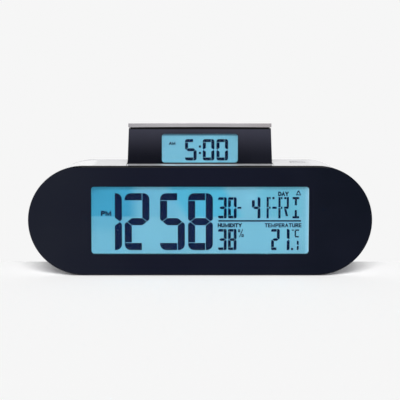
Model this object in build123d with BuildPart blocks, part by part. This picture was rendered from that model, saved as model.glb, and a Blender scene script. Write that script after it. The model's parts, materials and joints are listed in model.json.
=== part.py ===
from build123d import *
import math
import os

# Alarm clock with a pill-shaped front and a display block that rises out of its top.
# Millimetres. X runs along the front, Y from the front to the rear, Z up from the table.

os.makedirs("parts", exist_ok=True)

# ---------------------------------------------------------------- driving dimensions
# Front panel and case
panel_length = 180.4
panel_height = 57.5
panel_thickness = 2.5
panel_round = 0.8  # rounding of the panel's front edge
panel_lift = 0.4  # height of the panel's lower edge above the table
depth = 48.0  # front face of the panel to rear face of the back cover
case_inset = 0.2  # the case stands this much inside the panel's outline
case_wall = 2.2
end_taper = 3.5  # how far each end of the case draws in towards the rear
cover_depth = 7.0
rear_round = 2.5
lip_depth = 3.0
lip_wall = 1.3
fit_gap = 0.15  # between parts that locate each other
cover_gap = 0.25  # around the battery door

# Feet
foot_diameter = 10.0
foot_recess = 0.6
foot_inset = 11.45  # foot centre inside the end of the flat underside
foot_front_inset = 10.0  # foot centre behind the panel's front face
foot_rear_inset = 7.0  # foot centre in front of the shell's rear edge

# Main display
window_length = 114.0
window_height = 35.4
window_round = 1.5
window_raise = 0.1  # window centre above the panel centre
window_bevel = 0.15
lens_thickness = 1.4
lens_recess = 0.2
lcd_margin = 3.6  # glass beyond the window, each side
lcd_thickness = 2.2
ink_thickness = 0.12
lcd_rest_gap = 0.1
backlight_thickness = 3.0
backlight_leg = 2.0
lcd_shelf = 2.2
display_depth = 8.2  # front of the glass to the front of the circuit board
frame_wall = 2.0
zebra_width = 1.8

# Main circuit board
board_height = 42.0
board_thickness = 1.6
board_boss_gap = 2.45  # display frame to the board's bosses
board_end_margin = 4.0  # board beyond its screw holes
board_hole_inset = 3.5  # screw holes inside the board's long edges
board_case_gap = 0.8  # least room between board and case
board_round = 2.0
chip_inset = 10.0  # controller and crystal inside the board's holes
crystal_drop = 14.0  # crystal under the controller's middle
chip_diameter = 14.0
chip_height = 1.8
crystal_diameter = 2.0
crystal_length = 6.2
buzzer_diameter = 12.0
buzzer_height = 8.5

# Fasteners
screw_diameter = 2.0
screw_head_diameter = 4.2
screw_head_height = 1.4
screw_gap = 0.1  # diametral, between a shank and its pilot hole
screw_pass_gap = 0.5  # diametral, between a shank and a plain hole
boss_diameter = 5.4
case_screw_length = 12.0
case_head_depth = 4.0  # case screw heads sit this deep in the cover
case_post_diameter = 7.2
case_post_inset = 3.2  # posts' middles inside the case's inner faces
case_post_length = 15.0
short_screw_length = 5.5
tiny_screw_length = 3.0

# Pop-up display block
popup_base_width = 77.0
popup_draft = 0.75  # lean of each side between foot and shoulder
popup_corner = 0.8  # rounding of the block's upright edges
popup_skirt = 6.3  # part of the block that stays inside the case
popup_wall = 1.6
groove_height = 0.85
groove_depth = 1.0
cap_side_overhang = 0.2
cap_thickness = 0.95  # at the rear edge
cap_fall = 1.15  # drop of the cap's top from front to rear
cap_crown = 0.22
cap_overhang = 0.1
cap_round = 0.5
cap_edge = 0.2
slide_gap = 0.4
lug_length = 8.0
lug_height = 3.9
lug_reach = 1.8

# Pop-up display
popup_window_length = 40.4
popup_window_height = 15.35
popup_window_round = 1.5
popup_window_raise = 0.6  # lower edge of the window above the case top
popup_brow = 2.85  # upper edge of the window to the shoulder
popup_lens_thickness = 1.2
popup_lcd_margin = 1.55
popup_zebra_width = 1.4
popup_lcd_thickness = 1.8
popup_backlight_thickness = 2.2
popup_display_depth = 5.7
popup_board_thickness = 1.2
popup_board_margin = 2.8  # board beyond its screw holes
popup_boss_gap = 1.65  # glass to the board's bosses

# Guide, springs and latch
guide_wall = 2.0
guide_floor = 2.0
guide_front_gap = 1.2  # main board to the guide's front wall
guide_rear_gap = 0.45  # guide's rear wall to the screws of the button board
guide_bay_gap = 1.8  # battery bay to the guide's floor
guide_side_gap = 0.3
ledge_gap = 0.3
rod_diameter = 2.5
rod_wall_gap = 0.75  # sleeve to the block's side wall
rod_setback = 2.0  # rods behind the block's middle
rod_bore_gap = 0.15  # diametral running clearance
rod_boss_height = 2.0
rod_boss_diameter = 3.9
sleeve_diameter = 5.0
sleeve_height = 10.5
spring_wire = 0.45
spring_radius = 2.45
spring_turns = 5
bottom_cover_thickness = 1.6
cover_boss_gap = 0.2  # cover bosses to the heads of the board's screws
cover_boss_drop = 3.6  # cover boss centre in front of the block's rear face
hang_boss_gap = 0.1  # guide's side wall to its hanging bosses
hang_boss_length = 5.6
tab_thickness = 2.0
latch_bay_gap = 1.0  # latch to the battery bay
latch_length = 14.0
latch_width = 7.0
latch_height = 14.0
latch_flange_length = 24.0
latch_flange_thickness = 1.6
latch_mouth_length = 5.2
latch_mouth_width = 4.2
latch_mouth_depth = 9.0
striker_length = 4.0
striker_width = 2.6
striker_reach = 10.0
striker_plate = 1.0
flex_width = 8.0
flex_thickness = 0.2
flex_x = 15.0
flex_folds = 6
flex_fold_gap = 3.0  # folds to the guide's walls

# Batteries and their bay
cell_diameter = 14.2
cell_length = 50.5
cell_nub_diameter = 5.4
cell_nub_height = 1.3
cell_gap = 0.3
bay_wall = 1.4
bay_rise = 2.2  # bay's floor above the case's inner floor
contact_spring_length = 4.7
door_margin = 0.5  # door opening beyond the bay, each side
door_edge = 0.3
contact_thickness = 0.5
contact_size = 11.0
contact_wire = 0.8
contact_turns = 3
contact_radius = 3.2
tab_reach = 4.0
tab_width = 3.0
lead_diameter = 1.1
lead_spread = 8.0  # lead's far end beyond the contact, along X
lead_rise = 7.0

# Buttons
rear_button_names = ("mode_button", "set_button", "up_button", "down_button", "alarm_button")
rear_button_pitch = 14.0
rear_button_drop = 13.8  # button row under the case top
rear_button_diameter = 6.6
rear_button_gap = 0.5  # diametral
rear_button_travel = 0.8
rear_flange_width = 1.0
rear_flange_thickness = 0.8
rear_recess = 0.8
rear_recess_margin = 5.0
rear_board_thickness = 1.2
rear_board_height = 13.0
rear_boss_offset = 9.8  # outer button to the board's boss
rear_board_margin = 3.2  # board beyond its bosses
switch_size = 5.0
switch_height = 1.5
switch_gap = 0.3  # switch to stem with the button fully pressed
top_button_gap = 0.2  # guide's hanging bosses to the top button's flange
top_button_setback = 2.0  # button behind the block's middle
top_button_width = 7.6
top_button_length = 12.0
top_button_round = 2.0
top_button_proud = 0.2
top_button_travel = 0.6
top_flange = 0.6
top_board_width = 7.0
top_board_drop = 5.4  # case's inner top to the top button's board
case_post_gap = 0.6  # inner pieces to the case's screw posts
top_board_hole = 10.3  # screw to button centre, along Y
top_boss_diameter = 4.2

# Vents and sensor
vent_inset = 20.0  # vents and sound holes inside the case's ends
vent_count = 5
vent_pitch = 3.0
vent_length = 11.0
vent_height = 1.4
sensor_board_size = 12.0
sensor_size = 5.0
sensor_height = 1.8
sensor_boss_rise = 9.5  # boss above the sensor
sensor_drop = 3.0  # sensor under the case's middle
sound_hole_diameter = 1.6
sound_ring_radius = 4.5
sound_ring_count = 6
buzzer_offset = 10.0  # buzzer inboard of the sound holes

# ---------------------------------------------------------------- derived places
front_y = -depth / 2
rear_y = depth / 2
panel_back_y = front_y + panel_thickness
shell_back_y = rear_y - cover_depth
cover_inner_y = rear_y - case_wall
mid_z = panel_lift + panel_height / 2
case_height = panel_height - 2 * case_inset
case_top_z = mid_z + case_height / 2
case_bottom_z = mid_z - case_height / 2
inner_top_z = case_top_z - case_wall
inner_bottom_z = case_bottom_z + case_wall
window_z = mid_z + window_raise

lens_front_y = front_y + lens_recess
lcd_front_y = panel_back_y + lcd_rest_gap
lcd_back_y = lcd_front_y + lcd_thickness
board_front_y = lcd_front_y + display_depth
board_back_y = board_front_y + board_thickness
lcd_length = window_length + 2 * lcd_margin
lcd_height = window_height + 2 * lcd_margin
board_hole_x = lcd_length / 2 + frame_wall + fit_gap + board_boss_gap + boss_diameter / 2
board_hole_z = board_height / 2 - board_hole_inset
board_length = 2 * (board_hole_x + board_end_margin)
pilot_diameter = screw_diameter + screw_gap
pass_diameter = screw_diameter + screw_pass_gap

flange_y = cover_inner_y - fit_gap - rear_flange_thickness
stem_y = flange_y - rear_flange_thickness
rear_switch_y = stem_y - rear_button_travel - switch_gap
rear_board_y = rear_switch_y - switch_height - rear_board_thickness
rear_button_z = case_top_z - rear_button_drop

popup_front_y = board_back_y + guide_front_gap + guide_wall + slide_gap
popup_back_y = rear_board_y - screw_head_height - guide_rear_gap - guide_wall - slide_gap
popup_depth = popup_back_y - popup_front_y
popup_top_width = popup_base_width - 2 * popup_draft
cap_width = popup_top_width + 2 * cap_side_overhang
popup_rise = popup_window_raise + popup_window_height + popup_brow  # case top to the shoulder
popup_mid_y = (popup_front_y + popup_back_y) / 2
popup_bottom_z = case_top_z - popup_skirt
shoulder_z = case_top_z + popup_rise
cap_bottom_z = shoulder_z + groove_height
travel = cap_bottom_z + cap_thickness - case_top_z  # brings the cap's rear level with the case top
cavity_width = popup_top_width - 2 * popup_wall
cover_bottom_z = popup_bottom_z - bottom_cover_thickness
opening_half = popup_base_width / 2 + slide_gap
opening_front_y = popup_front_y - slide_gap
opening_back_y = popup_back_y + slide_gap
popup_window_z = case_top_z + popup_window_raise + popup_window_height / 2
popup_inner_y = popup_front_y + popup_wall
popup_lcd_front_y = popup_inner_y + lcd_rest_gap
popup_lcd_back_y = popup_lcd_front_y + popup_lcd_thickness
popup_board_front_y = popup_lcd_front_y + popup_display_depth
popup_board_back_y = popup_board_front_y + popup_board_thickness
popup_lcd_length = popup_window_length + 2 * popup_lcd_margin
popup_lcd_height = popup_window_height + 2 * popup_lcd_margin
roof_z = popup_window_z + popup_lcd_height / 2 + lcd_rest_gap
popup_boss_x = popup_lcd_length / 2 + popup_boss_gap + boss_diameter / 2
popup_board_length = 2 * (popup_boss_x + popup_board_margin)
cover_boss_x = popup_boss_x - (boss_diameter + screw_head_diameter) / 2 - cover_boss_gap
rod_x = cavity_width / 2 - sleeve_diameter / 2 - rod_wall_gap
rod_y = popup_mid_y + rod_setback

well_half = popup_base_width / 2 + lug_reach + guide_side_gap
guide_half = well_half + guide_wall
guide_front_y = opening_front_y - guide_wall
guide_back_y = opening_back_y + guide_wall
guide_top_z = inner_top_z - fit_gap
tab_top_z = inner_top_z - hang_boss_length
hang_boss_x = guide_half + hang_boss_gap + boss_diameter / 2
hang_boss_ys = (guide_front_y + boss_diameter / 2, guide_back_y - boss_diameter / 2)

bay_half_length = cell_length + contact_thickness + fit_gap + contact_spring_length / 2
bay_height = cell_diameter + 4 * cell_gap
bay_floor_z = inner_bottom_z + bay_rise
bay_top_z = bay_floor_z + bay_height
guide_floor_z = bay_top_z + bay_wall + guide_bay_gap
floor_top_z = guide_floor_z + guide_floor
bay_front_y = cover_inner_y - cell_diameter - 4 * cell_gap
cell_y = bay_front_y + cell_gap + cell_diameter / 2
cell_z = bay_floor_z + cell_gap + cell_diameter / 2
latch_y = bay_front_y - bay_wall - latch_bay_gap - latch_width / 2

top_button_x = hang_boss_x + boss_diameter / 2 + top_button_gap + top_flange + top_button_width / 2
top_button_y = popup_mid_y + top_button_setback
top_board_z = inner_top_z - top_board_drop
ceiling_z = inner_top_z - 2 * fit_gap  # top of the top button's flange
vent_x = vent_inset - panel_length / 2
sound_x = panel_length / 2 - vent_inset
foot_x = (panel_length - panel_height) / 2 - foot_inset
foot_front_y = front_y + foot_front_inset
foot_rear_y = shell_back_y - foot_rear_inset
post_clear_x = max(bay_half_length + bay_wall, top_button_x + top_board_width / 2)
case_post_x = post_clear_x + case_post_gap + case_post_diameter / 2
case_post_zs = (inner_bottom_z + case_post_inset, inner_top_z - case_post_inset)
case_head_y = rear_y - case_head_depth


# ---------------------------------------------------------------- shared shapes
def facing(y):
    """Plane at depth y that faces the front, X to the right and Z up."""
    return Plane.XZ.offset(-y)


def level(z):
    """Horizontal plane at height z."""
    return Plane.XY.offset(z)


def case_length(y):
    """Length of the case's outline at depth y."""
    share = (y - panel_back_y) / (rear_y - panel_back_y)
    return panel_length - 2 * case_inset - 2 * end_taper * share


def case_form(near_y, far_y, shrink):
    """Solid of the tapering pill outline between two depths, smaller all round by shrink."""
    with BuildPart() as form:
        for y in (near_y, far_y):
            with BuildSketch(facing(y)):
                with Locations((0, mid_z)):
                    SlotOverall(case_length(y) - 2 * shrink, case_height - 2 * shrink)
        loft(ruled=True)
    return form.part


def screw(length):
    """Pan-head screw with its head above the origin and its shank down -Z."""
    with BuildPart() as made:
        with BuildSketch(Plane.XY):
            Circle(screw_head_diameter / 2)
        extrude(amount=screw_head_height)
        fillet(made.faces().sort_by(Axis.Z)[-1].edges(), screw_head_height / 3)
        with BuildSketch(Plane.XY):
            Circle(screw_diameter / 2)
        extrude(amount=-length)
        chamfer(made.faces().sort_by(Axis.Z)[0].edges(), screw_diameter / 5)
        with BuildSketch(level(screw_head_height)):
            Rectangle(screw_head_diameter * 0.55, screw_diameter / 5)
            Rectangle(screw_diameter / 5, screw_head_diameter * 0.55)
        extrude(amount=-screw_head_height / 2, mode=Mode.SUBTRACT)
    return made.part


def from_rear(x, y, z):
    """Plane for a screw driven towards the front, its head at depth y."""
    return Plane(origin=(x, y, z), x_dir=(1, 0, 0), z_dir=(0, 1, 0))


def from_below(x, y, z):
    """Plane for a screw driven upwards, its head under height z."""
    return Plane(origin=(x, y, z), x_dir=(1, 0, 0), z_dir=(0, 0, -1))


def coil(radius, wire, start, rise, turns, axis):
    """Coil spring that fills the rise from its start along an axis, its ends just clear."""
    clearance = 0.6 * wire
    centre = Vector(*start) + axis * clearance
    height = rise - 2 * clearance
    with BuildPart() as made:
        with BuildLine():
            path = Helix(height / turns, height, radius, center=centre, direction=axis)
        with BuildSketch(Plane(origin=path @ 0, z_dir=path % 0)):
            Circle(wire / 2)
        sweep(is_frenet=True)
    return made.part


TIP_SHARE = 0.3  # a post's tip inside its outer edge, as a share of the post's width
HALF_ENDS = 0.38  # end of a day letter's left half bars, as a share of the letter's width
HALF_STARTS = 0.55  # start of its right half bars
WAIST_SHARE = 0.22  # gap between the two posts of an I, as a share of its height
SEGMENTS = {
    "0": "abcdef",
    "1": "bc",
    "2": "abged",
    "3": "abgcd",
    "4": "fgbc",
    "5": "afgcd",
    "8": "abcdefg",
    "-": "g",
}


def figure(char, width, height, post, bar, gap, corner):
    """Seven-segment character. The level strokes hold its left corners, the right posts the others."""
    mid = height / 2
    half_bar = bar / 2
    half_gap = gap / 2
    tip = post * TIP_SHARE
    right = width - post - gap
    left_post = [(tip, mid + half_gap), (post, mid + half_bar + gap), (post, height - bar - gap)]
    left_post += [(0, height - bar - gap), (0, mid + half_gap + tip)]
    right_post = [(width - tip, mid + half_gap), (width - post, mid + half_bar + gap)]
    right_post += [(width - post, height), (width, height), (width, mid + half_gap + tip)]
    level_bar = [(0, height - bar), (right, height - bar), (right, height), (0, height)]
    middle = [(tip + gap, mid), (post, mid + half_bar), (width - post, mid + half_bar)]
    middle += [(width - tip - gap, mid), (width - post, mid - half_bar), (post, mid - half_bar)]
    outlines = {
        "f": left_post,
        "b": right_post,
        "e": [(x, height - z) for x, z in left_post],
        "c": [(x, height - z) for x, z in right_post],
        "a": level_bar,
        "d": [(x, height - z) for x, z in level_bar],
        "g": middle,
    }
    with BuildSketch() as drawn:
        for segment in SEGMENTS[char]:
            Polygon(*outlines[segment], align=None)
        with Locations((width / 2, mid)):
            RectangleRounded(width, height, corner, mode=Mode.INTERSECT)
    return drawn.sketch


def letter(char, width, height, stroke, gap):
    """Thin segment letter of a day name: F, R or I. Its level bars are (from x, to x, middle z)."""
    mid = height / 2
    arm = stroke / 2
    inner_left = stroke + gap
    inner_right = width - inner_left
    left_end = width * HALF_ENDS
    right_start = width * HALF_STARTS
    if char == "I":
        post_x = width / 2
        post_inset = stroke
        waist = height * WAIST_SHARE
        bars = [(0, width, height - arm), (0, width, arm)]
    else:
        post_x = arm
        post_inset = 0
        waist = 2 * gap
        bars = [(inner_left, left_end, height - arm), (right_start, inner_right, height - arm)]
        bars += [(inner_left, left_end, mid), (right_start, width - gap, mid)]
    post_length = mid - waist / 2 - post_inset
    with BuildSketch() as drawn:
        for low in (post_inset, height - post_inset - post_length):
            with Locations((post_x, low + post_length / 2)):
                Rectangle(stroke, post_length)
        for start, end, z in bars:
            with Locations(((start + end) / 2, z)):
                Rectangle(end - start, stroke)
        if char == "R":
            with Locations((width - arm, height - post_length / 2)):
                Rectangle(stroke, post_length)
            leg_top = mid - arm - gap
            foot_x = inner_right - gap
            leg = [(right_start, leg_top), (right_start + stroke, leg_top)]
            leg += [(foot_x + stroke, stroke), (foot_x, stroke)]
            Polygon(*leg, align=None)
    return drawn.sketch


def screw_group(planes, length):
    """Group of equal screws, one on each plane."""
    with BuildPart() as group:
        with Locations(*planes):
            add(screw(length))
    return group


# ---------------------------------------------------------------- front panel and window
board_holes = [(x, mid_z + z) for x in (-board_hole_x, board_hole_x) for z in (-board_hole_z, board_hole_z)]
lip_length = case_length(panel_back_y + lip_depth) - 2 * (case_wall + fit_gap)
lip_height = case_height - 2 * (case_wall + fit_gap)

with BuildPart() as front_panel:
    with BuildSketch(facing(front_y)):
        with Locations((0, mid_z)):
            SlotOverall(panel_length, panel_height)
    extrude(amount=-panel_thickness)
    fillet(front_panel.faces().sort_by(Axis.Y)[0].edges(), panel_round)
    with BuildSketch(facing(front_y)):
        with Locations((0, window_z)):
            RectangleRounded(window_length, window_height, window_round)
    extrude(amount=-panel_thickness, mode=Mode.SUBTRACT)
    chamfer(front_panel.faces().sort_by(Axis.Y)[0].inner_wires().edges(), window_bevel)
    with BuildSketch(facing(panel_back_y)):
        with Locations((0, mid_z)):
            SlotOverall(lip_length, lip_height)
            SlotOverall(lip_length - 2 * lip_wall, lip_height - 2 * lip_wall, mode=Mode.SUBTRACT)
    extrude(amount=-lip_depth)
    with BuildSketch(facing(panel_back_y)):
        with Locations(*board_holes):
            Circle(boss_diameter / 2)
    extrude(amount=-(board_front_y - panel_back_y))
    with BuildSketch(facing(board_front_y)):
        with Locations(*board_holes):
            Circle(pilot_diameter / 2)
    extrude(amount=short_screw_length, mode=Mode.SUBTRACT)
front_panel.part.label = "front_panel"
export_step(front_panel.part, "parts/front_panel.step")

with BuildPart() as main_window:
    with BuildSketch(facing(lens_front_y)):
        with Locations((0, window_z)):
            RectangleRounded(window_length - fit_gap, window_height - fit_gap, window_round)
    extrude(amount=-lens_thickness)
main_window.part.label = "main_window"
export_step(main_window.part, "parts/main_window.step")

# ---------------------------------------------------------------- main display
digit_height = 30.1
digit_width = 13.05
digit_post = 3.76
digit_bar = 3.78
digit_gap = 0.28
digit_corner = 3.25
small_height = 11.15
small_width = 4.5
small_post = 1.5
small_bar = 1.4
small_gap = 0.2
small_corner = 0.8
tenth_width = 2.6
tenth_height = 5.0
tenth_stroke = 1.0
tenth_gap = 0.15
tenth_corner = 0.6
point_size = 1.1
day_height = 11.25
day_stroke = 1.14
hour_tens_right = -41.0  # places along X, from the middle of the window
hour_left = -39.6
minute_tens_left = -21.0
minute_left = -6.3
row_left = 9.5
row_pitch = 5.2  # between the left edges of two figures in a row
dash_x = 20.65
dash_length = 2.1
dash_thickness = 1.0
month_left = 27.2
day_lefts = {"F": 34.9, "R": 41.1, "I": 48.5}
day_widths = {"F": 5.5, "R": 5.5, "I": 3.5}
degrees_left = 37.4
units_right = 47.1
point_x = 48.45
tenth_right = 51.9
upper_row_rise = 0.85  # above the middle of the window
lower_row_drop = 15.95
rule_left = 9.6
rule_right = 53.0
rule_drop = 0.5
rule_thickness = 0.78
digit_low = window_z - lower_row_drop
upper_row_low = window_z + upper_row_rise
lower_row_low = window_z - lower_row_drop


def big(char):
    """Main time figure."""
    return figure(char, digit_width, digit_height, digit_post, digit_bar, digit_gap, digit_corner)


def small(char):
    """Figure of the date, humidity and temperature rows."""
    return figure(char, small_width, small_height, small_post, small_bar, small_gap, small_corner)


tenth = figure("1", tenth_width, tenth_height, tenth_stroke, tenth_stroke, tenth_gap, tenth_corner)
ink_marks = [
    (hour_tens_right - digit_width, digit_low, big("1")),
    (hour_left, digit_low, big("2")),
    (minute_tens_left, digit_low, big("5")),
    (minute_left, digit_low, big("8")),
    (row_left, upper_row_low, small("3")),
    (row_left + row_pitch, upper_row_low, small("0")),
    (month_left, upper_row_low, small("4")),
    (row_left, lower_row_low, small("3")),
    (row_left + row_pitch, lower_row_low, small("8")),
    (degrees_left, lower_row_low, small("2")),
    (units_right - small_width, lower_row_low, small("1")),
    (tenth_right - tenth_width, lower_row_low, tenth),
]
for char, left in day_lefts.items():
    ink_marks.append((left, upper_row_low, letter(char, day_widths[char], day_height, day_stroke, small_gap)))

with BuildPart() as main_lcd_segments:
    with BuildSketch(facing(lcd_front_y)):
        for left, low, mark in ink_marks:
            with Locations((left, low)):
                add(mark)
        with Locations((dash_x, upper_row_low + small_height / 2)):
            Rectangle(dash_length, dash_thickness)
        with Locations(((rule_left + rule_right) / 2, window_z - rule_drop)):
            Rectangle(rule_right - rule_left, rule_thickness)
        with Locations((point_x, lower_row_low + point_size / 2)):
            Rectangle(point_size, point_size)
    extrude(amount=ink_thickness)
main_lcd_segments.part.label = "main_lcd_segments"
export_step(main_lcd_segments.part, "parts/main_lcd_segments.step")

with BuildPart() as main_lcd_glass:
    with BuildSketch(facing(lcd_front_y)):
        with Locations((0, window_z)):
            Rectangle(lcd_length, lcd_height - 2 * zebra_width)
    extrude(amount=-lcd_thickness / 2)
    with BuildSketch(facing(lcd_front_y + lcd_thickness / 2)):
        with Locations((0, window_z)):
            Rectangle(lcd_length, lcd_height)
    extrude(amount=-lcd_thickness / 2)
main_lcd_glass.part.label = "main_lcd_glass"
export_step(main_lcd_glass.part, "parts/main_lcd_glass.step")

guide_length = lcd_length - 2 * (lcd_shelf + fit_gap)
guide_height = lcd_height - 2 * (zebra_width + 2 * fit_gap)
with BuildPart() as main_backlight:
    with BuildSketch(facing(lcd_back_y)):
        with Locations((0, window_z)):
            RectangleRounded(guide_length, guide_height, window_round)
    extrude(amount=-backlight_thickness)
    with BuildSketch(facing(lcd_back_y + backlight_thickness)):
        with Locations((0, window_z)):
            with GridLocations(guide_length - 4 * backlight_leg, guide_height - 4 * backlight_leg, 2, 2):
                Rectangle(backlight_leg, backlight_leg)
    extrude(amount=-(board_front_y - lcd_back_y - backlight_thickness))
main_backlight.part.label = "main_backlight"
export_step(main_backlight.part, "parts/main_backlight.step")

with BuildPart() as main_contact_strips:
    with BuildSketch(facing(lcd_back_y)):
        with Locations((0, window_z)):
            with GridLocations(0, lcd_height - zebra_width, 1, 2):
                Rectangle(guide_length, zebra_width)
    extrude(amount=-(board_front_y - lcd_back_y))
main_contact_strips.part.label = "main_contact_strips"
export_step(main_contact_strips.part, "parts/main_contact_strips.step")

with BuildPart() as main_lcd_frame:
    with BuildSketch(facing(panel_back_y)):
        with Locations((0, window_z)):
            outer_gap = 2 * (frame_wall + fit_gap)
            RectangleRounded(lcd_length + outer_gap, lcd_height + outer_gap, frame_wall)
        with Locations((0, mid_z)):
            lip_gap = 2 * (lip_wall + fit_gap)
            SlotOverall(lip_length - lip_gap, lip_height - lip_gap, mode=Mode.INTERSECT)
    extrude(amount=-(board_front_y - panel_back_y))
    with BuildSketch(facing(panel_back_y)):
        with Locations((0, window_z)):
            Rectangle(lcd_length + 2 * fit_gap, lcd_height + 2 * fit_gap)
    extrude(amount=-(lcd_back_y - panel_back_y), mode=Mode.SUBTRACT)
    with BuildSketch(facing(panel_back_y)):
        with Locations((0, window_z)):
            Rectangle(lcd_length - 2 * lcd_shelf, lcd_height + 2 * fit_gap)
    extrude(amount=-(board_front_y - panel_back_y), mode=Mode.SUBTRACT)
main_lcd_frame.part.label = "main_lcd_frame"
export_step(main_lcd_frame.part, "parts/main_lcd_frame.step")

# ---------------------------------------------------------------- main circuit board
chip_x = chip_inset - board_hole_x
buzzer_x = sound_x - buzzer_offset
with BuildPart() as main_circuit_board:
    with BuildSketch(facing(board_front_y)):
        with Locations((0, mid_z)):
            RectangleRounded(board_length, board_height, board_round)
            room = 2 * (case_wall + board_case_gap)
            SlotOverall(case_length(board_back_y) - room, case_height - room, mode=Mode.INTERSECT)
        with Locations(*board_holes):
            Circle(pass_diameter / 2, mode=Mode.SUBTRACT)
    extrude(amount=-board_thickness)
main_circuit_board.part.label = "main_circuit_board"
export_step(main_circuit_board.part, "parts/main_circuit_board.step")

with BuildPart() as controller_chip:
    with BuildSketch(facing(board_back_y)):
        with Locations((chip_x, mid_z)):
            Circle(chip_diameter / 2)
    extrude(amount=-chip_height)
    fillet(controller_chip.faces().sort_by(Axis.Y)[-1].edges(), chip_height * 0.8)
controller_chip.part.label = "controller_chip"
export_step(controller_chip.part, "parts/controller_chip.step")

with BuildPart() as quartz_crystal:
    with BuildSketch(Plane.YZ.offset(chip_x - crystal_length / 2)):
        with Locations((board_back_y + crystal_diameter / 2, mid_z - crystal_drop)):
            Circle(crystal_diameter / 2)
    extrude(amount=crystal_length)
quartz_crystal.part.label = "quartz_crystal"
export_step(quartz_crystal.part, "parts/quartz_crystal.step")

with BuildPart() as alarm_buzzer:
    with BuildSketch(facing(board_back_y)):
        with Locations((buzzer_x, mid_z)):
            Circle(buzzer_diameter / 2)
    extrude(amount=-buzzer_height)
    with BuildSketch(facing(board_back_y + buzzer_height)):
        with Locations((buzzer_x, mid_z)):
            Circle(buzzer_diameter / 10)
    extrude(amount=buzzer_height / 4, mode=Mode.SUBTRACT)
alarm_buzzer.part.label = "alarm_buzzer"
export_step(alarm_buzzer.part, "parts/alarm_buzzer.step")

board_screw_planes = [from_rear(x, board_back_y, z) for x, z in board_holes]
main_board_screws = screw_group(board_screw_planes, short_screw_length)
main_board_screws.part.label = "main_board_screws"
export_step(main_board_screws.part, "parts/main_board_screws.step")

# ---------------------------------------------------------------- case shell
shell_outside = case_form(panel_back_y, shell_back_y, 0)
shell_inside = case_form(panel_back_y, shell_back_y, case_wall)
foot_spots = [(x, y) for x in (-foot_x, foot_x) for y in (foot_front_y, foot_rear_y)]
case_post_spots = [(x, z) for x in (-case_post_x, case_post_x) for z in case_post_zs]
hang_spots = [(x, y) for x in (-hang_boss_x, hang_boss_x) for y in hang_boss_ys]
top_board_spots = [(top_button_x, top_button_y + dy) for dy in (-top_board_hole, top_board_hole)]
opening_mid_y = (panel_back_y + opening_back_y) / 2

with BuildPart() as case_shell:
    add(shell_outside)
    add(shell_inside, mode=Mode.SUBTRACT)
    with BuildSketch(level(inner_top_z - fit_gap)):
        with Locations((0, opening_mid_y)):
            Rectangle(2 * opening_half, opening_back_y - panel_back_y)
    extrude(amount=2 * case_wall, mode=Mode.SUBTRACT)
    with BuildSketch(facing(shell_back_y)):
        with Locations(*case_post_spots):
            Circle(case_post_diameter / 2)
    extrude(amount=case_post_length)
    with BuildSketch(facing(shell_back_y)):
        with Locations(*case_post_spots):
            Circle(pilot_diameter / 2)
    extrude(amount=case_post_length - case_wall, mode=Mode.SUBTRACT)
    with BuildSketch(level(tab_top_z)):
        with Locations(*hang_spots):
            Circle(boss_diameter / 2)
    extrude(amount=hang_boss_length + fit_gap)
    with BuildSketch(level(tab_top_z)):
        with Locations(*hang_spots):
            Circle(pilot_diameter / 2)
    extrude(amount=hang_boss_length, mode=Mode.SUBTRACT)
    with BuildSketch(level(top_board_z)):
        with Locations(*top_board_spots):
            Circle(top_boss_diameter / 2)
    extrude(amount=inner_top_z - top_board_z + fit_gap)
    with BuildSketch(level(top_board_z)):
        with Locations(*top_board_spots):
            Circle(pilot_diameter / 2)
    extrude(amount=inner_top_z - top_board_z, mode=Mode.SUBTRACT)
    with BuildSketch(level(top_board_z)):
        with Locations((top_button_x, top_button_y)):
            hole_width = top_button_width + slide_gap
            hole_length = top_button_length + slide_gap
            RectangleRounded(hole_width, hole_length, top_button_round)
    extrude(amount=case_top_z - top_board_z + fit_gap, mode=Mode.SUBTRACT)
    with BuildSketch(level(case_bottom_z)):
        with Locations(*foot_spots):
            Circle(foot_diameter / 2 + fit_gap)
    extrude(amount=foot_recess, mode=Mode.SUBTRACT)
case_shell.part.label = "case_shell"
export_step(case_shell.part, "parts/case_shell.step")

with BuildPart() as rubber_feet:
    with BuildSketch(level(0)):
        with Locations(*foot_spots):
            Circle(foot_diameter / 2)
    extrude(amount=case_bottom_z + foot_recess)
    fillet(rubber_feet.faces().group_by(Axis.Z)[0].edges(), foot_recess / 2)
rubber_feet.part.label = "rubber_feet"
export_step(rubber_feet.part, "parts/rubber_feet.step")

# ---------------------------------------------------------------- back cover
cover_outside = case_form(shell_back_y, rear_y, 0)
cover_inside = case_form(shell_back_y, cover_inner_y, case_wall)
bay_mid_z = bay_floor_z + bay_height / 2
door_half = bay_half_length + door_margin
door_height = bay_height + 2 * door_margin
bay_depth = cover_inner_y - bay_front_y
rear_button_count = len(rear_button_names)
button_span = rear_button_pitch * (rear_button_count - 1)
rear_boss_x = button_span / 2 + rear_boss_offset
rear_boss_spots = [(-rear_boss_x, rear_button_z), (rear_boss_x, rear_button_z)]
sensor_z = mid_z - sensor_drop
sensor_boss_spot = (vent_x, sensor_z + sensor_boss_rise)
sensor_board_y = cover_inner_y - sensor_height - rear_board_thickness
contact_slot = contact_thickness + 2 * fit_gap

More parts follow.
